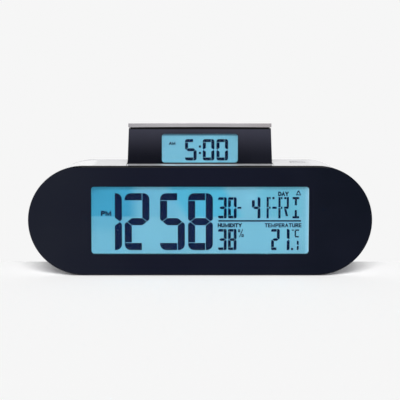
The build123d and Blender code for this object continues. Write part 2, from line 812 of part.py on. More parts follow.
with BuildPart() as back_cover:
    add(cover_outside)
    fillet(back_cover.faces().sort_by(Axis.Y)[-1].edges(), rear_round)
    add(cover_inside, mode=Mode.SUBTRACT)
    with BuildSketch(facing(bay_front_y - bay_wall)):
        with Locations((0, bay_mid_z)):
            Rectangle(2 * (bay_half_length + bay_wall), bay_height + 2 * bay_wall)
    extrude(amount=-(bay_depth + bay_wall + case_wall / 2))
    with BuildSketch(facing(bay_front_y)):
        with Locations((0, bay_mid_z)):
            Rectangle(2 * bay_half_length, bay_height)
    extrude(amount=-(bay_depth + case_wall), mode=Mode.SUBTRACT)
    with BuildSketch(facing(cover_inner_y)):
        with Locations((0, bay_mid_z)):
            RectangleRounded(2 * door_half, door_height, door_margin * 2)
    extrude(amount=-case_wall, mode=Mode.SUBTRACT)
    with BuildSketch(facing(bay_front_y - bay_wall)):
        with Locations((0, bay_mid_z)):
            with GridLocations(2 * bay_half_length - contact_thickness, 0, 2, 1):
                Rectangle(contact_slot, tab_width + 2 * fit_gap)
    extrude(amount=-bay_wall, mode=Mode.SUBTRACT)
    with BuildSketch(facing(shell_back_y)):
        with Locations(*case_post_spots):
            Circle(case_post_diameter / 2)
    extrude(amount=-(cover_depth - case_wall / 2))
    with BuildSketch(facing(shell_back_y)):
        with Locations(*case_post_spots):
            Circle(pass_diameter / 2)
    extrude(amount=-cover_depth, mode=Mode.SUBTRACT)
    with BuildSketch(facing(case_head_y)):
        with Locations(*case_post_spots):
            Circle(screw_head_diameter / 2 + fit_gap)
    extrude(amount=-cover_depth, mode=Mode.SUBTRACT)
    with BuildSketch(facing(rear_y)):
        with Locations((0, rear_button_z)):
            strip_length = button_span + rear_button_diameter + rear_recess_margin
            SlotOverall(strip_length, rear_button_diameter + rear_recess_margin)
    extrude(amount=rear_recess, mode=Mode.SUBTRACT)
    with BuildSketch(facing(rear_y)):
        with Locations((0, rear_button_z)):
            with GridLocations(rear_button_pitch, 0, rear_button_count, 1):
                Circle((rear_button_diameter + rear_button_gap) / 2)
    extrude(amount=case_wall, mode=Mode.SUBTRACT)
    with BuildSketch(facing(rear_board_y + rear_board_thickness)):
        with Locations(*rear_boss_spots):
            Circle(boss_diameter / 2)
    extrude(amount=-(cover_inner_y - rear_board_y - rear_board_thickness + fit_gap))
    with BuildSketch(facing(sensor_board_y + rear_board_thickness)):
        with Locations(sensor_boss_spot):
            Circle(boss_diameter / 2)
    extrude(amount=-(cover_inner_y - sensor_board_y - rear_board_thickness + fit_gap))
    with BuildSketch(facing(sensor_board_y + rear_board_thickness)):
        with Locations(sensor_boss_spot):
            Circle(pilot_diameter / 2)
    extrude(amount=-tiny_screw_length, mode=Mode.SUBTRACT)
    with BuildSketch(facing(rear_board_y + rear_board_thickness)):
        with Locations(*rear_boss_spots):
            Circle(pilot_diameter / 2)
    extrude(amount=-tiny_screw_length, mode=Mode.SUBTRACT)
    with BuildSketch(facing(rear_y)):
        with Locations((vent_x, sensor_z)):
            with GridLocations(0, vent_pitch, 1, vent_count):
                SlotOverall(vent_length, vent_height)
        with Locations((sound_x, mid_z)):
            Circle(sound_hole_diameter / 2)
            with PolarLocations(sound_ring_radius, sound_ring_count):
                Circle(sound_hole_diameter / 2)
    extrude(amount=case_wall, mode=Mode.SUBTRACT)
back_cover.part.label = "back_cover"
export_step(back_cover.part, "parts/back_cover.step")

case_screw_planes = [from_rear(x, case_head_y, z) for x, z in case_post_spots]
case_screws = screw_group(case_screw_planes, case_screw_length)
case_screws.part.label = "case_screws"
export_step(case_screws.part, "parts/case_screws.step")

rib_length = 10.0
rib_depth = 3.0
rib_thickness = 0.6
grip_count = 3
grip_pitch = 1.6
grip_length = 12.0
with BuildPart() as battery_door:
    with BuildSketch(facing(cover_inner_y)):
        with Locations((0, bay_mid_z)):
            door_round = door_margin * 2 - cover_gap
            RectangleRounded(2 * (door_half - cover_gap), door_height - 2 * cover_gap, door_round)
    extrude(amount=-case_wall)
    fillet(battery_door.faces().sort_by(Axis.Y)[-1].edges(), door_edge)
    with BuildSketch(facing(cover_inner_y)):
        with Locations((0, bay_top_z - cell_gap - rib_thickness / 2)):
            with GridLocations(1.5 * bay_half_length, 0, 2, 1):
                Rectangle(rib_length, rib_thickness)
    extrude(amount=rib_depth)
    with BuildSketch(facing(rear_y)):
        with Locations((0, bay_top_z - grip_pitch * grip_count)):
            with GridLocations(0, grip_pitch, 1, grip_count):
                SlotOverall(grip_length, grip_pitch / 2)
    extrude(amount=case_wall / 4, mode=Mode.SUBTRACT)
battery_door.part.label = "battery_door"
export_step(battery_door.part, "parts/battery_door.step")

# ---------------------------------------------------------------- batteries and contacts
plate_x = bay_half_length - contact_thickness
cell_end_x = plate_x - fit_gap
cell_starts = (cell_end_x - 2 * cell_length - fit_gap, cell_end_x - cell_length)
with BuildPart() as batteries:
    for start in cell_starts:
        with BuildSketch(Plane.YZ.offset(start)):
            with Locations((cell_y, cell_z)):
                Circle(cell_diameter / 2)
        extrude(amount=cell_length - cell_nub_height)
        with BuildSketch(Plane.YZ.offset(start + cell_length - cell_nub_height)):
            with Locations((cell_y, cell_z)):
                Circle(cell_nub_diameter / 2)
        extrude(amount=cell_nub_height)
batteries.part.label = "batteries"
export_step(batteries.part, "parts/batteries.step")


def contact_plate(low_x):
    """Sheet contact with a solder tab that passes through the bay's front wall."""
    with BuildPart() as made:
        with BuildSketch(Plane.YZ.offset(low_x)):
            with Locations((cell_y, bay_mid_z)):
                RectangleRounded(contact_size, contact_size, contact_thickness)
            tab_front_y = bay_front_y - bay_wall - tab_reach
            tab_back_y = cell_y - contact_size / 2 + contact_thickness
            with Locations(((tab_front_y + tab_back_y) / 2, bay_mid_z)):
                Rectangle(tab_back_y - tab_front_y, tab_width)
        extrude(amount=contact_thickness)
    return made.part


positive_sheet = contact_plate(plate_x)
negative_sheet = contact_plate(-bay_half_length)
coil_start = (-plate_x, cell_y, cell_z)
coil_rise = cell_starts[0] + plate_x
negative_coil = coil(contact_radius, contact_wire, coil_start, coil_rise, contact_turns, Vector(1, 0, 0))

with BuildPart() as positive_contact:
    add(positive_sheet)
positive_contact.part.label = "positive_contact"
export_step(positive_contact.part, "parts/positive_contact.step")

with BuildPart() as negative_contact:
    add(negative_sheet)
    add(negative_coil)
negative_contact.part.label = "negative_contact"
export_step(negative_contact.part, "parts/negative_contact.step")

lead_start_y = bay_front_y - bay_wall - tab_reach - fit_gap
lead_x = bay_half_length - contact_thickness / 2
lead_end_x = lead_x + lead_spread
lead_end_z = bay_mid_z + lead_rise
lead_run = (lead_start_y - board_back_y) / 2
battery_leads_made = []
for side in (-1, 1):
    route = [
        (side * lead_x, lead_start_y, bay_mid_z),
        (side * lead_x, lead_start_y - lead_run * 0.7, bay_mid_z),
        (side * lead_end_x, board_back_y + lead_run * 0.7, lead_end_z),
        (side * lead_end_x, board_back_y + fit_gap, lead_end_z),
    ]
    with BuildPart() as lead:
        with BuildLine():
            lead_path = FilletPolyline(*route, radius=lead_run * 0.5)
        with BuildSketch(Plane(origin=lead_path @ 0, z_dir=lead_path % 0)):
            Circle(lead_diameter / 2)
        sweep()
    battery_leads_made.append(lead.part)

with BuildPart() as battery_leads:
    add(battery_leads_made)
battery_leads.part.label = "battery_leads"
export_step(battery_leads.part, "parts/battery_leads.step")

# ---------------------------------------------------------------- rear buttons and boards
for index, button_name in enumerate(rear_button_names):
    button_x = (index - (rear_button_count - 1) / 2) * rear_button_pitch
    with BuildPart() as rear_button:
        with BuildSketch(facing(stem_y)):
            with Locations((button_x, rear_button_z)):
                Circle(rear_button_diameter / 4)
        extrude(amount=-rear_flange_thickness)
        with BuildSketch(facing(flange_y)):
            with Locations((button_x, rear_button_z)):
                Circle(rear_button_diameter / 2 + rear_flange_width)
        extrude(amount=-rear_flange_thickness)
        with BuildSketch(facing(flange_y + rear_flange_thickness)):
            with Locations((button_x, rear_button_z)):
                Circle(rear_button_diameter / 2)
        extrude(amount=-(rear_y - flange_y - rear_flange_thickness))
        fillet(rear_button.faces().sort_by(Axis.Y)[-1].edges(), rear_recess / 2)
    rear_button.part.label = button_name
    export_step(rear_button.part, f"parts/{button_name}.step")

with BuildPart() as rear_button_board:
    with BuildSketch(facing(rear_board_y)):
        with Locations((0, rear_button_z)):
            rear_board_length = 2 * (rear_boss_x + rear_board_margin)
            RectangleRounded(rear_board_length, rear_board_height, board_round)
        with Locations(*rear_boss_spots):
            Circle(pass_diameter / 2, mode=Mode.SUBTRACT)
    extrude(amount=-rear_board_thickness)
    with BuildSketch(facing(rear_board_y + rear_board_thickness)):
        with Locations((0, rear_button_z)):
            with GridLocations(rear_button_pitch, 0, rear_button_count, 1):
                Rectangle(switch_size, switch_size)
    extrude(amount=-switch_height)
rear_button_board.part.label = "rear_button_board"
export_step(rear_button_board.part, "parts/rear_button_board.step")

with BuildPart() as climate_sensor:
    with BuildSketch(facing(sensor_board_y)):
        sensor_board_rise = sensor_boss_rise + boss_diameter / 2 + sensor_board_size / 2
        with Locations((vent_x, sensor_z + sensor_boss_rise / 2)):
            Rectangle(sensor_board_size, sensor_board_rise)
        with Locations(sensor_boss_spot):
            Circle(pass_diameter / 2, mode=Mode.SUBTRACT)
    extrude(amount=-rear_board_thickness)
    with BuildSketch(facing(sensor_board_y + rear_board_thickness)):
        with Locations((vent_x, sensor_z)):
            Rectangle(sensor_size, sensor_size)
    extrude(amount=-(sensor_height - 2 * fit_gap))
climate_sensor.part.label = "climate_sensor"
export_step(climate_sensor.part, "parts/climate_sensor.step")

with BuildPart() as top_button:
    with BuildSketch(level(ceiling_z - top_flange)):
        with Locations((top_button_x, top_button_y)):
            flange_width = top_button_width + 2 * top_flange
            RectangleRounded(flange_width, top_button_length + 2 * top_flange, top_button_round)
    extrude(amount=top_flange + fit_gap)
    add(case_form(panel_back_y, shell_back_y, case_wall + 2 * fit_gap), mode=Mode.INTERSECT)
    with BuildSketch(level(ceiling_z - top_flange)):
        with Locations((top_button_x, top_button_y)):
            RectangleRounded(top_button_width, top_button_length, top_button_round)
    extrude(amount=case_top_z + top_button_proud - ceiling_z + top_flange)
    fillet(top_button.faces().sort_by(Axis.Z)[-1].edges(), top_button_proud / 2)
    with BuildSketch(level(ceiling_z - top_flange)):
        with Locations((top_button_x, top_button_y)):
            Circle(top_button_width / 4)
    stem_bottom_z = top_board_z + switch_height + top_button_travel + switch_gap
    extrude(amount=stem_bottom_z - ceiling_z + top_flange)
top_button.part.label = "top_button"
export_step(top_button.part, "parts/top_button.step")

with BuildPart() as top_button_board:
    with BuildSketch(level(top_board_z)):
        with Locations((top_button_x, top_button_y)):
            top_board_length = 2 * top_board_hole + top_boss_diameter
            RectangleRounded(top_board_width, top_board_length, board_round)
        with Locations(*top_board_spots):
            Circle(pass_diameter / 2, mode=Mode.SUBTRACT)
    extrude(amount=-rear_board_thickness)
    with BuildSketch(level(top_board_z)):
        with Locations((top_button_x, top_button_y)):
            Rectangle(switch_size, switch_size)
    extrude(amount=switch_height)
top_button_board.part.label = "top_button_board"
export_step(top_button_board.part, "parts/top_button_board.step")

small_screw_planes = [from_below(x, y, top_board_z - rear_board_thickness) for x, y in top_board_spots]
front_facing = [(*rear_boss_spots[0], rear_board_y), (*rear_boss_spots[1], rear_board_y)]
front_facing.append((*sensor_boss_spot, sensor_board_y))
for x, z, y in front_facing:
    small_screw_planes.append(Plane(origin=(x, y, z), x_dir=(1, 0, 0), z_dir=(0, -1, 0)))
switch_board_screws = screw_group(small_screw_planes, tiny_screw_length)
switch_board_screws.part.label = "switch_board_screws"
export_step(switch_board_screws.part, "parts/switch_board_screws.step")

# ---------------------------------------------------------------- pop-up guide and latch
ledge_half = opening_half - ledge_gap
ledge_front_y = panel_back_y + fit_gap
rod_spots = [(-rod_x, rod_y), (rod_x, rod_y)]
latch_screw_x = (latch_flange_length + latch_length) / 4
latch_screw_spots = [(-latch_screw_x, latch_y), (latch_screw_x, latch_y)]
guide_mid_y = (guide_front_y + guide_back_y) / 2

with BuildPart() as popup_guide:
    with BuildSketch(level(guide_floor_z)):
        with Locations((0, guide_mid_y)):
            Rectangle(2 * guide_half, guide_back_y - guide_front_y)
    extrude(amount=guide_top_z - guide_floor_z)
    with BuildSketch(level(guide_top_z)):
        with Locations((0, (ledge_front_y + opening_front_y) / 2)):
            Rectangle(2 * ledge_half, opening_front_y - ledge_front_y)
    extrude(amount=case_top_z - guide_top_z)
    with BuildSketch(level(floor_top_z)):
        with Locations((0, (opening_front_y + opening_back_y) / 2)):
            Rectangle(2 * well_half, opening_back_y - opening_front_y)
    extrude(amount=case_top_z - floor_top_z, mode=Mode.SUBTRACT)
    with BuildSketch(level(tab_top_z - tab_thickness)):
        for x, y in hang_spots:
            tab_start_x = guide_half - fit_gap
            tab_end_x = hang_boss_x + boss_diameter / 2
            with Locations((math.copysign((tab_start_x + tab_end_x) / 2, x), y)):
                Rectangle(tab_end_x - tab_start_x, boss_diameter)
        with Locations(*hang_spots):
            Circle(pass_diameter / 2, mode=Mode.SUBTRACT)
    extrude(amount=tab_thickness)
    with BuildSketch(level(guide_floor_z)):
        with Locations(*rod_spots):
            Circle(rod_boss_diameter / 2)
    extrude(amount=guide_floor + rod_boss_height)
    with BuildSketch(level(guide_floor_z)):
        with Locations(*rod_spots):
            Circle((rod_diameter + rod_bore_gap) / 2)
        with Locations((0, latch_y)):
            Rectangle(latch_mouth_length, latch_mouth_width)
        with Locations(*latch_screw_spots):
            Circle(pilot_diameter / 2)
    extrude(amount=guide_floor + rod_boss_height, mode=Mode.SUBTRACT)
popup_guide.part.label = "popup_guide"
export_step(popup_guide.part, "parts/popup_guide.step")

guide_screw_planes = [from_below(x, y, tab_top_z - tab_thickness) for x, y in hang_spots]
guide_screws = screw_group(guide_screw_planes, short_screw_length)
guide_screws.part.label = "guide_screws"
export_step(guide_screws.part, "parts/guide_screws.step")

rod_top_z = roof_z - travel - slide_gap
with BuildPart() as guide_rods:
    with BuildSketch(level(guide_floor_z)):
        with Locations(*rod_spots):
            Circle(rod_diameter / 2)
    extrude(amount=rod_top_z - guide_floor_z)
    chamfer(guide_rods.faces().group_by(Axis.Z)[-1].edges(), rod_diameter / 8)
guide_rods.part.label = "guide_rods"
export_step(guide_rods.part, "parts/guide_rods.step")

spring_rise = cover_bottom_z - floor_top_z
springs = [
    coil(spring_radius, spring_wire, (x, y, floor_top_z), spring_rise, spring_turns, Vector(0, 0, 1))
    for x, y in rod_spots
]
with BuildPart() as popup_springs:
    add(springs)
popup_springs.part.label = "popup_springs"
export_step(popup_springs.part, "parts/popup_springs.step")

with BuildPart() as push_latch:
    with BuildSketch(level(guide_floor_z)):
        with Locations((0, latch_y)):
            Rectangle(latch_length, latch_width)
    extrude(amount=-latch_height)
    with BuildSketch(level(guide_floor_z)):
        with Locations((0, latch_y)):
            Rectangle(latch_flange_length, latch_width)
    extrude(amount=-latch_flange_thickness)
    with BuildSketch(level(guide_floor_z)):
        with Locations((0, latch_y)):
            Rectangle(latch_mouth_length, latch_mouth_width)
    extrude(amount=-latch_mouth_depth, mode=Mode.SUBTRACT)
    with BuildSketch(level(guide_floor_z)):
        with Locations(*latch_screw_spots):
            Circle(pass_diameter / 2)
    extrude(amount=-latch_flange_thickness, mode=Mode.SUBTRACT)
push_latch.part.label = "push_latch"
export_step(push_latch.part, "parts/push_latch.step")

latch_screw_planes = [from_below(x, y, guide_floor_z - latch_flange_thickness) for x, y in latch_screw_spots]
latch_screws = screw_group(latch_screw_planes, tiny_screw_length)
latch_screws.part.label = "latch_screws"
export_step(latch_screws.part, "parts/latch_screws.step")

flex_step = (cover_bottom_z - floor_top_z - 2 * fit_gap) / flex_folds
flex_near_y = opening_front_y + flex_fold_gap
flex_far_y = opening_back_y - flex_fold_gap
flex_points = [
    (flex_far_y if fold % 2 else flex_near_y, floor_top_z + fit_gap + fold * flex_step)
    for fold in range(flex_folds + 1)
]
with BuildPart() as popup_ribbon_cable:
    with BuildSketch(Plane.YZ.offset(flex_x - flex_width / 2)):
        with BuildLine():
            Polyline(*flex_points)
        trace(line_width=flex_thickness)
    extrude(amount=flex_width)
popup_ribbon_cable.part.label = "popup_ribbon_cable"
export_step(popup_ribbon_cable.part, "parts/popup_ribbon_cable.step")

# ---------------------------------------------------------------- pop-up block
crown_radius = ((cap_width / 2) ** 2 + cap_crown**2) / (2 * cap_crown)


def crown_drop(x):
    """How far the cap's arch falls at a distance x from its middle."""
    return crown_radius - math.sqrt(crown_radius**2 - x**2)


neck_half = popup_top_width / 2 - groove_depth
cover_boss_y = popup_back_y - cover_boss_drop
cover_boss_spots = [(-cover_boss_x, cover_boss_y), (cover_boss_x, cover_boss_y)]
popup_boss_spots = [(-popup_boss_x, popup_window_z), (popup_boss_x, popup_window_z)]

with BuildPart() as popup_housing:
    for z, width in ((case_top_z, popup_base_width), (shoulder_z, popup_top_width)):
        with BuildSketch(level(z)):
            with Locations((0, popup_mid_y)):
                RectangleRounded(width, popup_depth, popup_corner)
    loft(ruled=True)
    with BuildSketch(level(popup_bottom_z)):
        with Locations((0, popup_mid_y)):
            RectangleRounded(popup_base_width, popup_depth, popup_corner)
    extrude(amount=popup_skirt)
    with BuildSketch(facing(popup_front_y + groove_depth)):
        with BuildLine():
            neck_side_z = cap_bottom_z - crown_drop(neck_half)
            Line((-neck_half, shoulder_z - fit_gap), (neck_half, shoulder_z - fit_gap))
            Line((neck_half, shoulder_z - fit_gap), (neck_half, neck_side_z))
            ThreePointArc((neck_half, neck_side_z), (0, cap_bottom_z), (-neck_half, neck_side_z))
            Line((-neck_half, neck_side_z), (-neck_half, shoulder_z - fit_gap))
        make_face()
    extrude(amount=-(popup_depth - 2 * groove_depth))
    with BuildSketch(level(popup_bottom_z)):
        with Locations((0, popup_mid_y)):
            Rectangle(cavity_width, popup_depth - 2 * popup_wall)
    extrude(amount=roof_z - popup_bottom_z, mode=Mode.SUBTRACT)
    with BuildSketch(level(popup_bottom_z)):
        with Locations((0, popup_mid_y)):
            with GridLocations(popup_base_width + lug_reach, 0, 2, 1):
                Rectangle(lug_reach, lug_length)
    extrude(amount=lug_height)
    with BuildSketch(level(popup_bottom_z)):
        with Locations(*cover_boss_spots):
            Circle(boss_diameter / 2)
    extrude(amount=roof_z - popup_bottom_z + fit_gap)
    with BuildSketch(level(popup_bottom_z)):
        with Locations(*cover_boss_spots):
            Circle(pilot_diameter / 2)
    extrude(amount=short_screw_length, mode=Mode.SUBTRACT)
    with BuildSketch(facing(popup_inner_y - fit_gap)):
        with Locations(*popup_boss_spots):
            Circle(boss_diameter / 2)
    extrude(amount=-(popup_board_front_y - popup_inner_y + fit_gap))
    with BuildSketch(facing(popup_board_front_y)):
        with Locations(*popup_boss_spots):
            Circle(pilot_diameter / 2)
    extrude(amount=short_screw_length, mode=Mode.SUBTRACT)
    with BuildSketch(facing(popup_front_y)):
        with Locations((0, popup_window_z)):
            RectangleRounded(popup_window_length, popup_window_height, popup_window_round)
    extrude(amount=-popup_wall, mode=Mode.SUBTRACT)
popup_housing.part.label = "popup_housing"
export_step(popup_housing.part, "parts/popup_housing.step")

cap_half = cap_width / 2
cap_side_z = cap_bottom_z - cap_crown
cap_front_y = popup_front_y - cap_overhang
cap_back_y = popup_back_y + cap_overhang
with BuildPart() as popup_cap:
    for y, thickness in ((cap_front_y, cap_thickness + cap_fall), (cap_back_y, cap_thickness)):
        with BuildSketch(facing(y)):
            with BuildLine():
                ThreePointArc((-cap_half, cap_side_z), (0, cap_bottom_z), (cap_half, cap_side_z))
                Line((cap_half, cap_side_z), (cap_half, cap_side_z + thickness))
                ThreePointArc((cap_half, cap_side_z + thickness), (0, cap_bottom_z + thickness),
                              (-cap_half, cap_side_z + thickness))
                Line((-cap_half, cap_side_z + thickness), (-cap_half, cap_side_z))
            make_face()
    loft(ruled=True)
    fillet(popup_cap.edges().filter_by(Axis.Z), cap_round)
    fillet(popup_cap.faces().sort_by(Axis.Z)[-1].edges(), cap_edge)
popup_cap.part.label = "popup_cap"
export_step(popup_cap.part, "parts/popup_cap.step")

with BuildPart() as popup_window:
    with BuildSketch(facing(popup_front_y + lcd_rest_gap)):
        with Locations((0, popup_window_z)):
            lens_length = popup_window_length - fit_gap
            RectangleRounded(lens_length, popup_window_height - fit_gap, popup_window_round)
    extrude(amount=-popup_lens_thickness)
popup_window.part.label = "popup_window"
export_step(popup_window.part, "parts/popup_window.step")

alarm_height = 11.4
alarm_width = 6.2
alarm_post = 1.66
alarm_bar = 1.6
alarm_gap = 0.22
alarm_corner = 1.3
alarm_drop = 6.6  # foot of the figures below the middle of the window
alarm_low = popup_window_z - alarm_drop
colon_size = 1.15
colon_pitch = 3.4
colon_x = 0.05


def alarm(char):
    """Figure of the pop-up display."""
    return figure(char, alarm_width, alarm_height, alarm_post, alarm_bar, alarm_gap, alarm_corner)


alarm_marks = [(-7.9, alarm("5")), (1.55, alarm("0")), (8.85, alarm("0"))]
with BuildPart() as popup_lcd_segments:
    with BuildSketch(facing(popup_lcd_front_y)):
        for left, mark in alarm_marks:
            with Locations((left, alarm_low)):
                add(mark)
        with Locations((colon_x, alarm_low + alarm_height / 2)):
            with GridLocations(0, colon_pitch, 1, 2):
                Rectangle(colon_size, colon_size)
    extrude(amount=ink_thickness)
popup_lcd_segments.part.label = "popup_lcd_segments"
export_step(popup_lcd_segments.part, "parts/popup_lcd_segments.step")

with BuildPart() as popup_lcd_glass:
    with BuildSketch(facing(popup_lcd_front_y)):
        with Locations((0, popup_window_z)):
            Rectangle(popup_lcd_length, popup_lcd_height)
    extrude(amount=-popup_lcd_thickness)
popup_lcd_glass.part.label = "popup_lcd_glass"
export_step(popup_lcd_glass.part, "parts/popup_lcd_glass.step")

popup_light_height = popup_lcd_height - 2 * (popup_zebra_width + fit_gap)
with BuildPart() as popup_backlight:
    with BuildSketch(facing(popup_lcd_back_y)):
        with Locations((0, popup_window_z)):
            Rectangle(popup_lcd_length, popup_light_height)
    extrude(amount=-popup_backlight_thickness)
    with BuildSketch(facing(popup_lcd_back_y + popup_backlight_thickness)):
        with Locations((0, popup_window_z)):
            leg_inset = 2 * backlight_leg
            with GridLocations(popup_lcd_length - leg_inset, popup_light_height - leg_inset, 2, 2):
                Rectangle(backlight_leg, backlight_leg)
    extrude(amount=-(popup_board_front_y - popup_lcd_back_y - popup_backlight_thickness))
popup_backlight.part.label = "popup_backlight"
export_step(popup_backlight.part, "parts/popup_backlight.step")

with BuildPart() as popup_contact_strips:
    with BuildSketch(facing(popup_lcd_back_y)):
        with Locations((0, popup_window_z)):
            with GridLocations(0, popup_lcd_height - popup_zebra_width, 1, 2):
                Rectangle(popup_lcd_length, popup_zebra_width)
    extrude(amount=-(popup_board_front_y - popup_lcd_back_y))
popup_contact_strips.part.label = "popup_contact_strips"
export_step(popup_contact_strips.part, "parts/popup_contact_strips.step")

with BuildPart() as popup_circuit_board:
    with BuildSketch(facing(popup_board_front_y)):
        with Locations((0, popup_window_z)):
            Rectangle(popup_board_length, popup_lcd_height)
        with Locations(*popup_boss_spots):
            Circle(pass_diameter / 2, mode=Mode.SUBTRACT)
    extrude(amount=-popup_board_thickness)
popup_circuit_board.part.label = "popup_circuit_board"
export_step(popup_circuit_board.part, "parts/popup_circuit_board.step")

with BuildPart() as popup_bottom_cover:
    with BuildSketch(level(cover_bottom_z)):
        with Locations((0, popup_mid_y)):
            Rectangle(popup_base_width - 2 * fit_gap, popup_depth - 2 * fit_gap)
    extrude(amount=bottom_cover_thickness)
    with BuildSketch(level(popup_bottom_z)):
        with Locations(*rod_spots):
            Circle(sleeve_diameter / 2)
    extrude(amount=sleeve_height)
    with BuildSketch(level(cover_bottom_z)):
        with Locations(*rod_spots):
            Circle((rod_diameter + rod_bore_gap) / 2)
        with Locations(*cover_boss_spots):
            Circle(pass_diameter / 2)
    extrude(amount=bottom_cover_thickness + sleeve_height, mode=Mode.SUBTRACT)
popup_bottom_cover.part.label = "popup_bottom_cover"
export_step(popup_bottom_cover.part, "parts/popup_bottom_cover.step")

with BuildPart() as latch_striker:
    with BuildSketch(level(cover_bottom_z)):
        with Locations((0, latch_y)):
            Rectangle(latch_length, latch_width - latch_mouth_width / 2)
    extrude(amount=-striker_plate)
    with BuildSketch(level(cover_bottom_z)):
        with Locations((0, latch_y)):
            Rectangle(striker_length, striker_width)
    extrude(amount=-striker_reach)
    chamfer(latch_striker.faces().sort_by(Axis.Z)[0].edges(), striker_width / 4)
latch_striker.part.label = "latch_striker"
export_step(latch_striker.part, "parts/latch_striker.step")

popup_screw_planes = [from_below(x, y, cover_bottom_z) for x, y in cover_boss_spots]
popup_screw_planes += [from_rear(x, popup_board_back_y, z) for x, z in popup_boss_spots]
popup_screws = screw_group(popup_screw_planes, short_screw_length)
popup_screws.part.label = "popup_screws"
export_step(popup_screws.part, "parts/popup_screws.step")
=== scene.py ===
"""Looks of a desk alarm clock with a pop-up display: finishes, printing, springs, camera and light."""

import json
import math

import bmesh
import bpy
from mathutils import Matrix, Vector

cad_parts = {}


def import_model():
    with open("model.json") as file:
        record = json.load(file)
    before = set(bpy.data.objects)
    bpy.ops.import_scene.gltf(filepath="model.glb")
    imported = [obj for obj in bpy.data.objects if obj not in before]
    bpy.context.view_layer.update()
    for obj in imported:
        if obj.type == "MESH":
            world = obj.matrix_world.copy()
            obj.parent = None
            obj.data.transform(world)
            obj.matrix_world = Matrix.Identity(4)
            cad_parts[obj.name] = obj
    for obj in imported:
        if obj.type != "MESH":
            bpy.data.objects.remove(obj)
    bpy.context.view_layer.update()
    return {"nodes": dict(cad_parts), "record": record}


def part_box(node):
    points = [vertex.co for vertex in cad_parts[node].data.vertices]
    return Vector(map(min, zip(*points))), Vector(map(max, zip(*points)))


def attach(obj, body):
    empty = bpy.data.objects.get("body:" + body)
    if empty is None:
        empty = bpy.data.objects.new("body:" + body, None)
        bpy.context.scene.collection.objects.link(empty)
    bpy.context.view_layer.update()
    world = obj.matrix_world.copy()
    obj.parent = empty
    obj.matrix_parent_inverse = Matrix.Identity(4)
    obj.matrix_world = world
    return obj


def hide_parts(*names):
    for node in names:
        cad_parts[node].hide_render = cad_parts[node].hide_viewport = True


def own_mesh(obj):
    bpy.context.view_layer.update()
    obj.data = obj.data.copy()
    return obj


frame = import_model()
MM = 0.001


# ---------------------------------------------------------------- shader building blocks

NOISE_DETAIL = 3.0
MOTTLE_RANGE = (0.35, 0.75)  # noise values between which a mottle fades in
GLOSS_RANGE = (0.3, 0.7)  # noise values between which the roughness goes from low to high
LEAST_ROUGHNESS = 0.01


